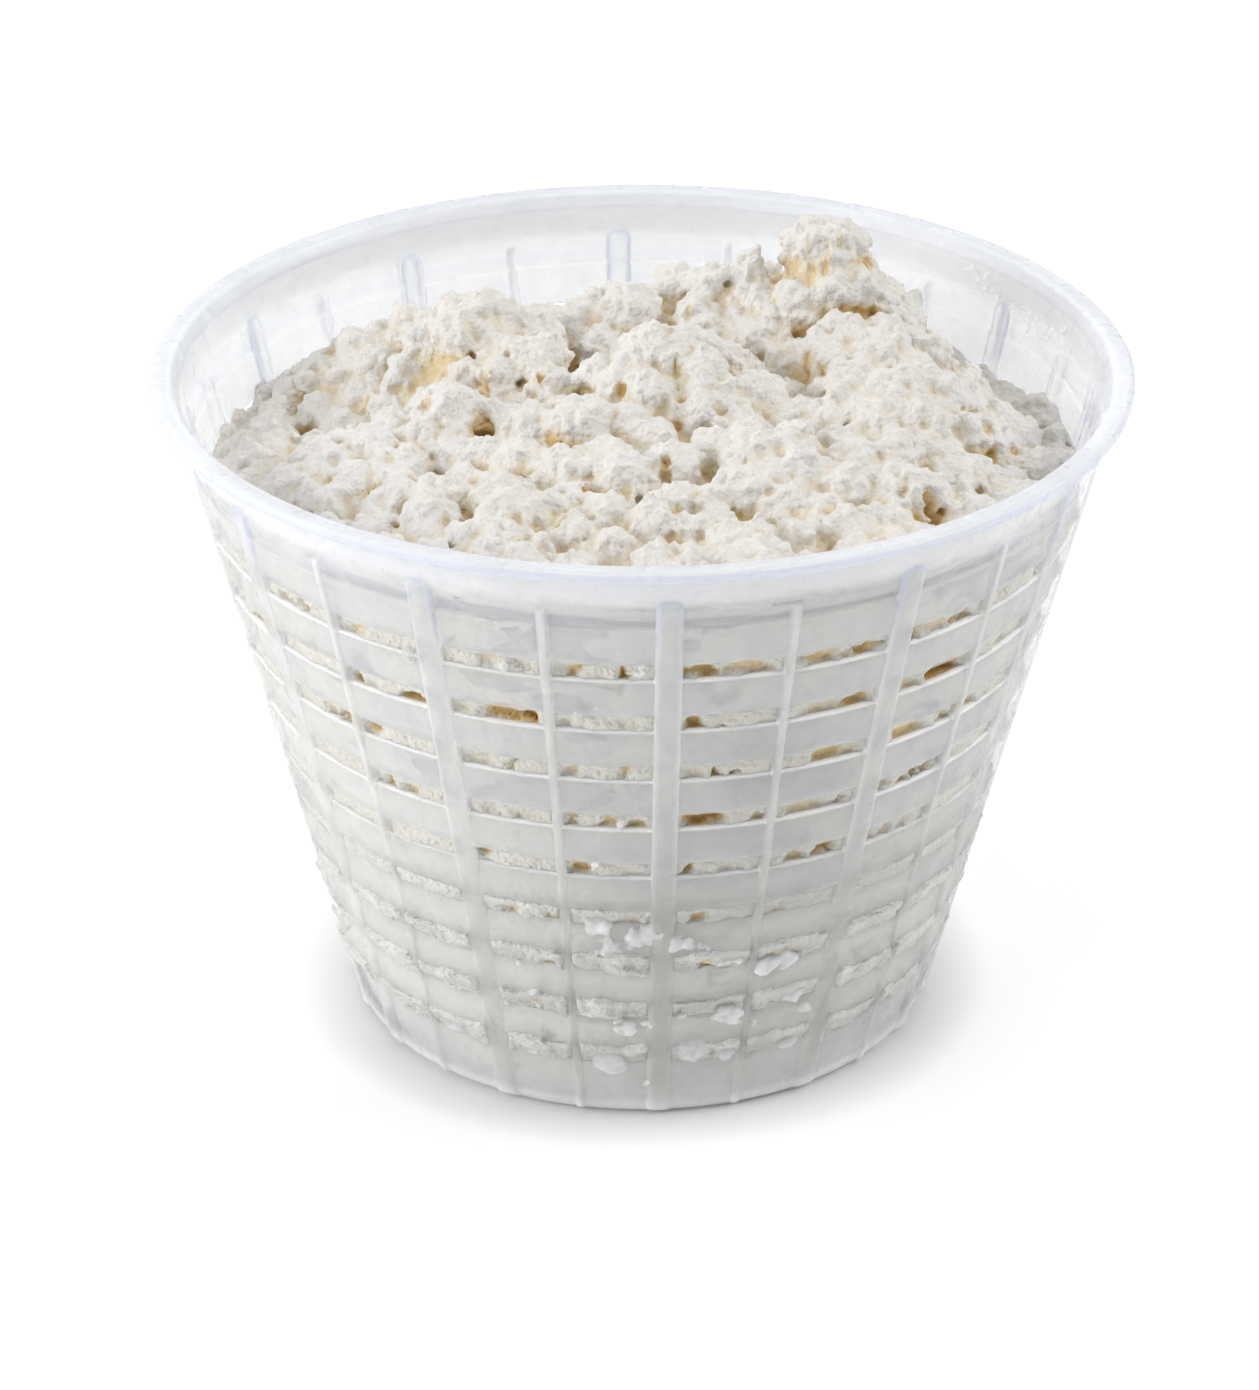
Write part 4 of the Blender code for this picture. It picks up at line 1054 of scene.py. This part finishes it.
# curds that have oozed out through the slots: degrees from the front, height, half width, half height
OOZED = (
    (-7.1, 30.9, 1.2, 1.3), (-5.2, 27.1, 1.2, 2.0), (1.6, 33.5, 0.6, 0.8), (3.3, 33.9, 0.3, 0.4), (-1.0, 29.3, 1.1, 1.5),
    (1.6, 30.2, 1.3, 1.5), (4.8, 28.0, 1.1, 1.3), (7.3, 28.4, 1.0, 1.1), (10.3, 27.3, 0.6, 0.9), (12.6, 24.8, 0.8, 0.8),
    (14.9, 24.5, 0.9, 0.8), (20.2, 23.0, 1.3, 1.3), (23.7, 23.3, 1.5, 1.2), (20.2, 26.9, 0.5, 0.8), (-3.8, 14.9, 0.9, 1.0),
    (-1.8, 14.0, 1.0, 1.1), (1.8, 15.0, 0.9, 1.0), (3.9, 18.3, 0.6, 0.8), (13.8, 16.2, 1.1, 1.3), (16.2, 15.5, 1.1, 1.4),
    (14.7, 19.6, 0.5, 0.5), (7.0, 16.4, 1.2, 0.5), (1.5, 5.4, 0.6, 1.0), (-20.3, 23.5, 0.5, 0.9), (-18.0, 17.1, 0.5, 0.8),
    (-8.7, 16.6, 1.7, 0.6), (-13.0, 56.2, 0.5, 0.7), (0.1, 70.1, 0.8, 0.8), (-17.3, 69.7, 0.7, 0.8), (-2.5, 47.1, 0.7, 0.7),
    (-6.0, 40.7, 0.8, 0.8), (26.6, 17.1, 1.1, 1.1), (29.7, 14.2, 1.1, 0.9), (19.6, 13.5, 0.7, 1.1), (-30.0, 25.0, 0.7, 0.8),
    (-41.0, 18.0, 0.9, 0.8), (36.0, 26.0, 0.7, 0.7), (41.0, 10.5, 0.9, 0.7), (-37.0, 32.5, 0.6, 0.5), (48.0, 17.5, 0.8, 0.8),
)
# wider, smoother, wet swellings low on the wall
SWOLLEN = ((9.1, 10.6, 2.3, 2.3), (15.2, 9.3, 1.5, 1.5), (-5.6, 8.4, 3.0, 2.2), (-19.1, 10.2, 3.2, 1.3), (27.0, 9.0, 1.8, 1.2), (-36.0, 9.5, 2.0, 1.2))
# drops of whey
DROPS = ((-30.1, 68.1, 1.1, 1.3), (-8.1, 63.6, 0.8, 0.5), (-5.8, 64.6, 0.35, 0.5), (18.7, 62.3, 0.5, 0.6))
# a thin smear of curd up the inside of the wall: degrees from the front, height, radius
SMEAR = (
    (121.5, 79.6, 1.0), (119.6, 79.5, 1.4), (117.6, 79.4, 1.6), (115.4, 79.8, 1.7), (113.2, 79.9, 1.8), (111.2, 80.4, 1.4), (109.4, 81.2, 0.9),
    (113.6, 78.9, 1.1), (130.8, 82.0, 0.9), (128.9, 81.4, 1.0), (126.8, 80.9, 1.1), (124.9, 80.7, 0.8), (127.6, 82.4, 0.6),
)


def build_oozed():
    """Small fused clusters of curd on the outside of the wall, with a smear inside it."""
    rng = np.random.default_rng(515)
    spots = [(a, z, w, h, 0) for a, z, w, h in OOZED]
    # the side that the photo doesn't show gets the same kind
    for _ in range(46):
        row = rng.integers(5, 10)
        spots.append((rng.uniform(58, 302), FIRST_Z - PITCH * row + rng.uniform(-0.5, 2.0), rng.uniform(0.5, 1.3), rng.uniform(0.5, 1.1), 0))
    # specks at the front, near the ledges
    for _ in range(70):
        row = rng.integers(5, 10)
        spots.append((rng.uniform(-48, 52), FIRST_Z - PITCH * row + rng.normal() * 1.1, rng.uniform(0.25, 0.6), rng.uniform(0.2, 0.45), 0))
    centres, radii = [], []
    for a, z, w, h, _ in spots:
        # a few larger grains with many small ones strung out around them
        n = int(np.clip(17 * w * h, 3 if w < 0.6 else 9, 52))
        spread = rng.uniform(0, 1, n) ** 0.6
        turn = rng.uniform(0, math.tau, n)
        across = w * 1.35 * spread * np.cos(turn) + 0.22 * rng.normal(size=n)
        high = h * 1.12 * spread * np.sin(turn) + 0.12 * rng.normal(size=n)
        small = 1.15 * min(w, h)
        radius = np.clip(small * rng.uniform(0.22, 0.56, n) * (1.15 - 0.55 * spread) + 0.12, 0.20, 0.80)
        depth = 0.20 * small * (1 - spread) * rng.uniform(0.3, 1.2, n) - 0.36 * radius
        base = outer_r(z + high) + depth
        f = np.radians(a) + across / outer_r(z)
        centres.append(np.stack([base * np.sin(f), -base * np.cos(f), z + high], -1))
        radii.append(radius)
    for a, z, r in SMEAR:
        n = int(18 * r)
        across, high = 0.60 * r * rng.normal(size=n), 0.34 * r * rng.normal(size=n)
        base = inner_r(z + high) + rng.uniform(0.04, 0.22, n)
        f = np.radians(a) + across / inner_r(z)
        centres.append(np.stack([base * np.sin(f), -base * np.cos(f), z + high], -1))
        radii.append(rng.uniform(0.26, 0.46, n))
    centres, radii = np.concatenate(centres), np.concatenate(radii)
    P, quads = fused(*ball_cloud(centres, radii, 2, rng), 0.22)
    links = quad_links(quads, len(P))
    P = averaged(P, links, 3, 0.5)
    normal = point_normals(P, quads)
    hollow = np.clip(np.einsum("ij,ij->i", averaged(P, links, 8) - P, normal) / 0.3, -1, 1) * 0.4
    # some of it is thick and white, some only a film
    patchy = 0.70 + 0.30 * smooth(value_noise(P, 3.4, 516), -0.35, 0.35)
    inside = (np.hypot(P[:, 0], P[:, 1]) < inner_r(P[:, 2]) + 0.5 * WALL_T).astype(float)
    cover = cover_of(P, 0.74, 0.55) * np.where(inside > 0, 0.75, patchy)
    return clean_mesh("oozed_curds", P, quads, {"hollow": hollow, "cover": cover, "lit": inside}, normal)


def cover_of(P, most, reach=0.42):
    """How solid a curd on the wall looks: it fades into the wet wall at its edge."""
    radius = np.hypot(P[:, 0], P[:, 1])
    out = np.maximum(radius - outer_r(P[:, 2]), inner_r(P[:, 2]) - radius)
    return np.clip(most * smooth(out, -0.20, reach), 0, 0.98)


def flat_balls(name, spots, thick, level, seed, uneven):
    """Low smooth domes on the outside of the wall."""
    rng = np.random.default_rng(seed)
    bm = bmesh.new()
    bmesh.ops.create_icosphere(bm, subdivisions=level, radius=1.0)
    unit = np.array([v.co[:] for v in bm.verts])
    tri = np.array([[v.index for v in f.verts] for f in bm.faces])
    bm.free()
    points, faces, count = [], [], 0
    for a, z, w, h in spots:
        bend = uneven * value_noise(unit * 1.3 + rng.uniform(0, 50, 3), 0.9, 7)[:, None]
        shape = unit * (1 + bend)
        high = z + shape[:, 2] * h
        f = np.radians(a) + shape[:, 0] * w / outer_r(z)
        radius = outer_r(high) - (shape[:, 1] + 0.42) * thick * min(w, h)
        points.append(np.stack([radius * np.sin(f), -radius * np.cos(f), high], -1))
        faces.append(tri + count)
        count += len(unit)
    points, faces = np.concatenate(points), np.concatenate(faces)
    return mesh_object(name, points, faces, {"hollow": np.zeros(len(points)), "cover": cover_of(points, 0.46, 0.9), "lit": np.zeros(len(points))})


# ------------------------------------------------------------------ materials


def new_material(name):
    made = bpy.data.materials.new(name)
    made.use_nodes = True
    nodes, links = made.node_tree.nodes, made.node_tree.links
    nodes.clear()
    out = nodes.new("ShaderNodeOutputMaterial")
    shader = nodes.new("ShaderNodeBsdfPrincipled")
    links.new(shader.outputs["BSDF"], out.inputs["Surface"])
    return made, nodes, links, shader


def ramp_between(nodes, links, factor, low, high, stops):
    node = nodes.new("ShaderNodeValToRGB")
    node.color_ramp.elements[0].position, node.color_ramp.elements[0].color = stops[0][0], (*stops[0][1], 1)
    node.color_ramp.elements[1].position, node.color_ramp.elements[1].color = stops[-1][0], (*stops[-1][1], 1)
    for at, colour in stops[1:-1]:
        made = node.color_ramp.elements.new(at)
        made.color = (*colour, 1)
    fit = nodes.new("ShaderNodeMapRange")
    fit.inputs["From Min"].default_value, fit.inputs["From Max"].default_value = low, high
    links.new(factor, fit.inputs["Value"])
    links.new(fit.outputs["Result"], node.inputs["Fac"])
    return node.outputs["Color"]


def object_noise(nodes, links, scale, detail=3.0, roughness=0.55):
    coord = nodes.new("ShaderNodeTexCoord")
    noise = nodes.new("ShaderNodeTexNoise")
    noise.inputs["Scale"].default_value = scale
    noise.inputs["Detail"].default_value = detail
    noise.inputs["Roughness"].default_value = roughness
    links.new(coord.outputs["Object"], noise.inputs["Vector"])
    return noise.outputs["Fac"]


def math_node(nodes, links, operation, a, b):
    node = nodes.new("ShaderNodeMath")
    node.operation = operation
    for k, value in enumerate((a, b)):
        if isinstance(value, (int, float)):
            node.inputs[k].default_value = value
        else:
            links.new(value, node.inputs[k])
    return node.outputs[0]


def range_node(nodes, links, value, low, high, out_low=0.0, out_high=1.0):
    fit = nodes.new("ShaderNodeMapRange")
    fit.inputs["From Min"].default_value, fit.inputs["From Max"].default_value = low, high
    fit.inputs["To Min"].default_value, fit.inputs["To Max"].default_value = out_low, out_high
    links.new(value, fit.inputs["Value"])
    return fit.outputs["Result"]


def mix_colour(nodes, links, factor, a, b, blend="MIX"):
    node = nodes.new("ShaderNodeMix")
    node.data_type, node.blend_type = "RGBA", blend
    for key, value in (("Factor", factor), ("A", a), ("B", b)):
        socket = [s for s in node.inputs if s.name == key and (s.type == "RGBA") == (key != "Factor") and s.enabled][0]
        if isinstance(value, tuple):
            socket.default_value = (*value, 1)
        elif isinstance(value, (int, float)):
            socket.default_value = value
        else:
            links.new(value, socket)
    return [s for s in node.outputs if s.type == "RGBA"][0]


def plastic():
    """Milky see-through plastic, a little blue, with fine scuffs; how milky it is comes with the mesh."""
    made, nodes, links, shader = new_material("milky_plastic")
    milk = nodes.new("ShaderNodeAttribute")
    milk.attribute_name = "milk"
    cloud = object_noise(nodes, links, 90.0, 1.0)
    # curd and whey clinging inside show through as soft patches
    patches = object_noise(nodes, links, 230.0, 2.0, 0.5)
    colour = ramp_between(nodes, links, patches, 0.34, 0.66, [(0.0, (0.735, 0.77, 0.825)), (0.5, (0.84, 0.87, 0.915)), (1.0, (0.94, 0.955, 0.975))])
    # painted shade: low on the wall, and most on the side facing the camera, the plastic is painted greyer; near the
    # lip it is bluer
    place = nodes.new("ShaderNodeSeparateXYZ")
    coord = nodes.new("ShaderNodeTexCoord")
    links.new(coord.outputs["Object"], place.inputs["Vector"])
    shaded_grey = ramp_between(nodes, links, patches, 0.34, 0.66, [(0.0, (0.84, 0.85, 0.815)), (0.5, (0.935, 0.945, 0.915)), (1.0, (0.975, 0.98, 0.96))])
    unshaded = nodes.new("ShaderNodeAttribute")
    unshaded.attribute_name = "unshaded"
    colour = mix_colour(nodes, links, unshaded.outputs["Fac"], shaded_grey, colour)
    colour = mix_colour(nodes, links, range_node(nodes, links, place.outputs["Z"], 0.068, 0.080), colour, (0.865, 0.895, 1.0))
    # painted shade: darker grey low down and bluish grey high up, where the mesh marks it
    painted_shade = nodes.new("ShaderNodeAttribute")
    painted_shade.attribute_name = "painted_shade"
    painted_shade_tone = mix_colour(nodes, links, range_node(nodes, links, place.outputs["Z"], 0.050, 0.062), (0.54, 0.545, 0.51), (0.60, 0.64, 0.80))
    colour = mix_colour(nodes, links, painted_shade.outputs["Fac"], colour, painted_shade_tone)
    # painted highlight: on the ledges, rib edges, lip and foot the plastic is painted near white
    white = nodes.new("ShaderNodeAttribute")
    white.attribute_name = "white"
    colour = mix_colour(nodes, links, white.outputs["Fac"], colour, (0.97, 0.975, 0.985))
    links.new(colour, shader.inputs["Base Color"])
    shader.inputs["Subsurface Weight"].default_value = 0.9
    shader.inputs["Subsurface Radius"].default_value = (1.0, 1.0, 1.0)
    shader.inputs["Subsurface Scale"].default_value = 0.003
    shader.inputs["IOR"].default_value = 1.49
    rough = ramp_between(nodes, links, object_noise(nodes, links, 400.0, 1.0), 0.3, 0.7, [(0.0, (0.24,) * 3), (1.0, (0.38,) * 3)])
    links.new(rough, shader.inputs["Roughness"])
    vary = range_node(nodes, links, cloud, 0.3, 0.7, 0.92, 1.08)
    alpha = math_node(nodes, links, "MULTIPLY", milk.outputs["Fac"], vary)
    alpha = math_node(nodes, links, "MINIMUM", alpha, 0.97)
    links.new(alpha, shader.inputs["Alpha"])
    # painted glow: the painted highlights also give off a little light of their own, standing in for light carried
    # along inside the plastic
    shader.inputs["Emission Color"].default_value = (1.0, 1.0, 1.0, 1)
    links.new(math_node(nodes, links, "MULTIPLY", white.outputs["Fac"], 0.13), shader.inputs["Emission Strength"])
    bump = nodes.new("ShaderNodeBump")
    bump.inputs["Strength"].default_value = 0.25
    bump.inputs["Distance"].default_value = 0.0004
    links.new(object_noise(nodes, links, 700.0, 2.0), bump.inputs["Height"])
    links.new(bump.outputs["Normal"], shader.inputs["Normal"])
    return made


def curd(name="fresh_curd", tone=1.0, wet=False):
    """Ricotta: off-white grains, with painted shade: warmer and darker where it lies hollow, dark ochre in its pits and
    deepest gaps.
    """
    made, nodes, links, shader = new_material(name)
    hollow = nodes.new("ShaderNodeAttribute")
    hollow.attribute_name = "hollow"
    pit_shade = nodes.new("ShaderNodeAttribute")
    pit_shade.attribute_name = "pit_shade"
    drift = object_noise(nodes, links, 45.0, 3.0)

    def shade(r, g, b):
        return (r * tone, g * tone, b * tone)

    base = ramp_between(nodes, links, drift, 0.35, 0.65, [(0.0, shade(0.90, 0.865, 0.805)), (1.0, shade(0.92, 0.90, 0.865))])
    if wet:
        # pressed against the wall, the curd is wet in patches
        patches = object_noise(nodes, links, 210.0, 4.0, 0.6)
        wetness = nodes.new("ShaderNodeAttribute")
        wetness.attribute_name = "wetness"
        much = math_node(nodes, links, "ADD", range_node(nodes, links, patches, 0.45, 0.70, 0.0, 0.75), wetness.outputs["Fac"])
        base = mix_colour(nodes, links, math_node(nodes, links, "MINIMUM", much, 0.95), base, (0.86, 0.87, 0.835))
        # painted shade: darker on the side facing the camera, halfway up the wall
        front_shade = nodes.new("ShaderNodeAttribute")
        front_shade.attribute_name = "front_shade"
        base = mix_colour(nodes, links, math_node(nodes, links, "MULTIPLY", front_shade.outputs["Fac"], 0.85), base, (0.50, 0.51, 0.48))
        # painted shade: the curd in the slots is painted darker, as the basket round it shades it
        slot_shade = nodes.new("ShaderNodeAttribute")
        slot_shade.attribute_name = "slot_shade"
        slot_shade_tone = mix_colour(nodes, links, wetness.outputs["Fac"], (0.72, 0.70, 0.63), (0.565, 0.573, 0.545))
        base = mix_colour(nodes, links, slot_shade.outputs["Fac"], base, slot_shade_tone)
    # painted shade: warmer and darker where the curd lies hollow
    warm_shade = mix_colour(nodes, links, range_node(nodes, links, hollow.outputs["Fac"], 0.05, 0.9), base, shade(0.885, 0.775, 0.59))
    # painted shade: ochre to dark brown in the pits and deepest gaps
    pit = ramp_between(nodes, links, pit_shade.outputs["Fac"], 0.0, 1.0, [(0.0, shade(0.89, 0.79, 0.58)), (0.45, shade(0.82, 0.62, 0.31)), (1.0, shade(0.50, 0.27, 0.06))])
    both = mix_colour(nodes, links, range_node(nodes, links, pit_shade.outputs["Fac"], 0.08, 0.5), warm_shade, pit)
    links.new(both, shader.inputs["Base Color"])
    shader.inputs["IOR"].default_value = 1.40
    rough = ramp_between(nodes, links, object_noise(nodes, links, 500.0, 3.0), 0.3, 0.7, [(0.0, (0.50,) * 3), (1.0, (0.72,) * 3)])
    links.new(rough, shader.inputs["Roughness"])
    coord = nodes.new("ShaderNodeTexCoord")
    cells = nodes.new("ShaderNodeTexVoronoi")
    cells.feature = "F1"
    cells.inputs["Scale"].default_value = 1250.0
    links.new(coord.outputs["Object"], cells.inputs["Vector"])
    grain = nodes.new("ShaderNodeBump")
    grain.invert = True
    grain.inputs["Strength"].default_value = 0.75
    grain.inputs["Distance"].default_value = 0.00036
    links.new(cells.outputs["Distance"], grain.inputs["Height"])
    beads = nodes.new("ShaderNodeTexVoronoi")
    beads.feature = "F1"
    beads.inputs["Scale"].default_value = 2300.0
    links.new(coord.outputs["Object"], beads.inputs["Vector"])
    fine = nodes.new("ShaderNodeBump")
    fine.invert = True
    fine.inputs["Strength"].default_value = 0.6
    fine.inputs["Distance"].default_value = 0.00019
    links.new(beads.outputs["Distance"], fine.inputs["Height"])
    links.new(grain.outputs["Normal"], fine.inputs["Normal"])
    links.new(fine.outputs["Normal"], shader.inputs["Normal"])
    return made


def oozed():
    """White wet curd squeezed out through a slot, fading into the wall at its edge."""
    made, nodes, links, shader = new_material("oozed_curd")
    cover = nodes.new("ShaderNodeAttribute")
    cover.attribute_name = "cover"
    hollow = nodes.new("ShaderNodeAttribute")
    hollow.attribute_name = "hollow"
    cloud = object_noise(nodes, links, 700.0, 3.0)
    base = ramp_between(nodes, links, cloud, 0.3, 0.7, [(0.0, (0.86, 0.87, 0.88)), (1.0, (0.95, 0.955, 0.96))])
    # painted shade: darker and warmer in the creases
    base = mix_colour(nodes, links, range_node(nodes, links, hollow.outputs["Fac"], 0.05, 0.4), base, (0.84, 0.82, 0.75))
    # painted glow: the thin smear inside the wall gives off a little light, standing in for light coming through the
    # plastic
    lit = nodes.new("ShaderNodeAttribute")
    lit.attribute_name = "lit"
    shader.inputs["Emission Color"].default_value = (1.0, 0.975, 0.94, 1)
    links.new(math_node(nodes, links, "MULTIPLY", lit.outputs["Fac"], 0.22), shader.inputs["Emission Strength"])
    links.new(base, shader.inputs["Base Color"])
    shader.inputs["IOR"].default_value = 1.38
    links.new(range_node(nodes, links, cloud, 0.3, 0.7, 0.30, 0.48), shader.inputs["Roughness"])
    links.new(math_node(nodes, links, "MULTIPLY", cover.outputs["Fac"], range_node(nodes, links, cloud, 0.3, 0.7, 1.1, 1.45)), shader.inputs["Alpha"])
    bump = nodes.new("ShaderNodeBump")
    bump.inputs["Strength"].default_value = 0.4
    bump.inputs["Distance"].default_value = 0.00015
    links.new(object_noise(nodes, links, 2600.0, 3.0, 0.6), bump.inputs["Height"])
    links.new(bump.outputs["Normal"], shader.inputs["Normal"])
    return made


def whey():
    """A clear wet drop, faintly cloudy."""
    made, nodes, links, shader = new_material("whey")
    cloud = object_noise(nodes, links, 900.0, 2.0)
    colour = ramp_between(nodes, links, cloud, 0.3, 0.7, [(0.0, (0.86, 0.87, 0.85)), (1.0, (0.95, 0.95, 0.93))])
    links.new(colour, shader.inputs["Base Color"])
    shader.inputs["IOR"].default_value = 1.34
    rough = range_node(nodes, links, cloud, 0.3, 0.7, 0.04, 0.10)
    links.new(rough, shader.inputs["Roughness"])
    links.new(range_node(nodes, links, cloud, 0.3, 0.7, 0.22, 0.38), shader.inputs["Alpha"])
    return made


# ------------------------------------------------------------------ build

plastic_m, curd_m, wet_and_shaded_curd_m, oozed_m, drop_m = plastic(), curd("fresh_curd", 0.985), curd("wet_and_shaded_curd", 0.97, True), oozed(), whey()


def finish_piece(thing, node, material):
    thing.data.materials.clear()
    thing.data.materials.append(material)
    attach(thing, "root")
    if node:
        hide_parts(node)
    print(thing.name, triangles_in(thing), "triangles")
    return thing


finish_piece(build_basket(), "basket", plastic_m)
finish_piece(build_floor(), "basket", plastic_m)
for part in build_top():
    finish_piece(part, "ricotta", curd_m)
finish_piece(build_side(), "ricotta", wet_and_shaded_curd_m)
finish_piece(build_oozed(), "ricotta", oozed_m)
finish_piece(flat_balls("swollen_curds", SWOLLEN, 0.80, 4, 91, 0.16), "ricotta", oozed_m)
finish_piece(flat_balls("whey_drops", DROPS, 0.75, 3, 92, 0.12), "ricotta", drop_m)

# ------------------------------------------------------------------ floor and light


def make_stage():
    mesh = bpy.data.meshes.new("floor")
    bm = bmesh.new()
    bmesh.ops.create_grid(bm, x_segments=1, y_segments=1, size=6.0)
    bm.to_mesh(mesh)
    bm.free()
    floor = bpy.data.objects.new("floor", mesh)
    floor.location = (0, 0, -0.0001)
    bpy.context.scene.collection.objects.link(floor)
    made, nodes, links, shader = new_material("pale_floor")
    shader.inputs["Base Color"].default_value = (0.86, 0.86, 0.86, 1)
    shader.inputs["Roughness"].default_value = 0.9
    shader.inputs["Specular IOR Level"].default_value = 0.1
    shader.inputs["Emission Color"].default_value = (1, 1, 1, 1)
    # the floor glows evenly as a bright sweep, except under and close to the basket, where the glow fades out: a
    # painted shadow ring that only the lamps light
    coord = nodes.new("ShaderNodeTexCoord")
    far = nodes.new("ShaderNodeVectorMath")
    far.operation = "LENGTH"
    links.new(coord.outputs["Object"], far.inputs[0])
    links.new(range_node(nodes, links, far.outputs["Value"], 0.037, 0.0455, 0.0, 0.32), shader.inputs["Emission Strength"])
    mesh.materials.append(made)


def area_light(name, place, aim, size, power, colour=(1, 1, 1)):
    data = bpy.data.lights.new(name, "AREA")
    data.shape, data.size, data.size_y = "RECTANGLE", size[0], size[1]
    data.energy, data.color = power, colour
    light = bpy.data.objects.new(name, data)
    light.location = place
    light.rotation_mode = "QUATERNION"
    light.rotation_quaternion = (Vector(aim) - Vector(place)).to_track_quat("-Z", "Y")
    bpy.context.scene.collection.objects.link(light)
    return light


def make_light():
    world = bpy.data.worlds.new("world")
    bpy.context.scene.world = world
    world.use_nodes = True
    shade = world.node_tree.nodes["Background"]
    shade.inputs["Color"].default_value = (1.0, 1.0, 1.0, 1)
    shade.inputs["Strength"].default_value = 0.18
    area_light("overhead", (-0.05, 0.10, 0.9), (0, 0, 0.05), (0.8, 0.8), 2.1)
    area_light("left", (-0.9, -0.10, 0.34), (0, 0, 0.05), (0.6, 0.6), 3.8)
    area_light("right", (0.85, 0.05, 0.62), (0, 0, 0.05), (0.6, 0.6), 4.1)
    area_light("front_right", (0.70, -0.40, 0.80), (0, 0, 0.05), (0.5, 0.5), 1.1)
    area_light("back", (-0.1, 0.9, 0.55), (0, 0, 0.05), (0.8, 0.5), 2.6)
    area_light("front_left", (-0.72, -0.60, 0.55), (0, 0, 0.05), (0.6, 0.6), 3.2)


make_stage()
make_light()
bpy.context.scene.view_settings.view_transform = "Standard"
bpy.context.scene.cycles.transparent_max_bounces = 12
bpy.context.scene.cycles.max_bounces = 5
bpy.context.scene.cycles.diffuse_bounces = 2
bpy.context.scene.cycles.glossy_bounces = 2
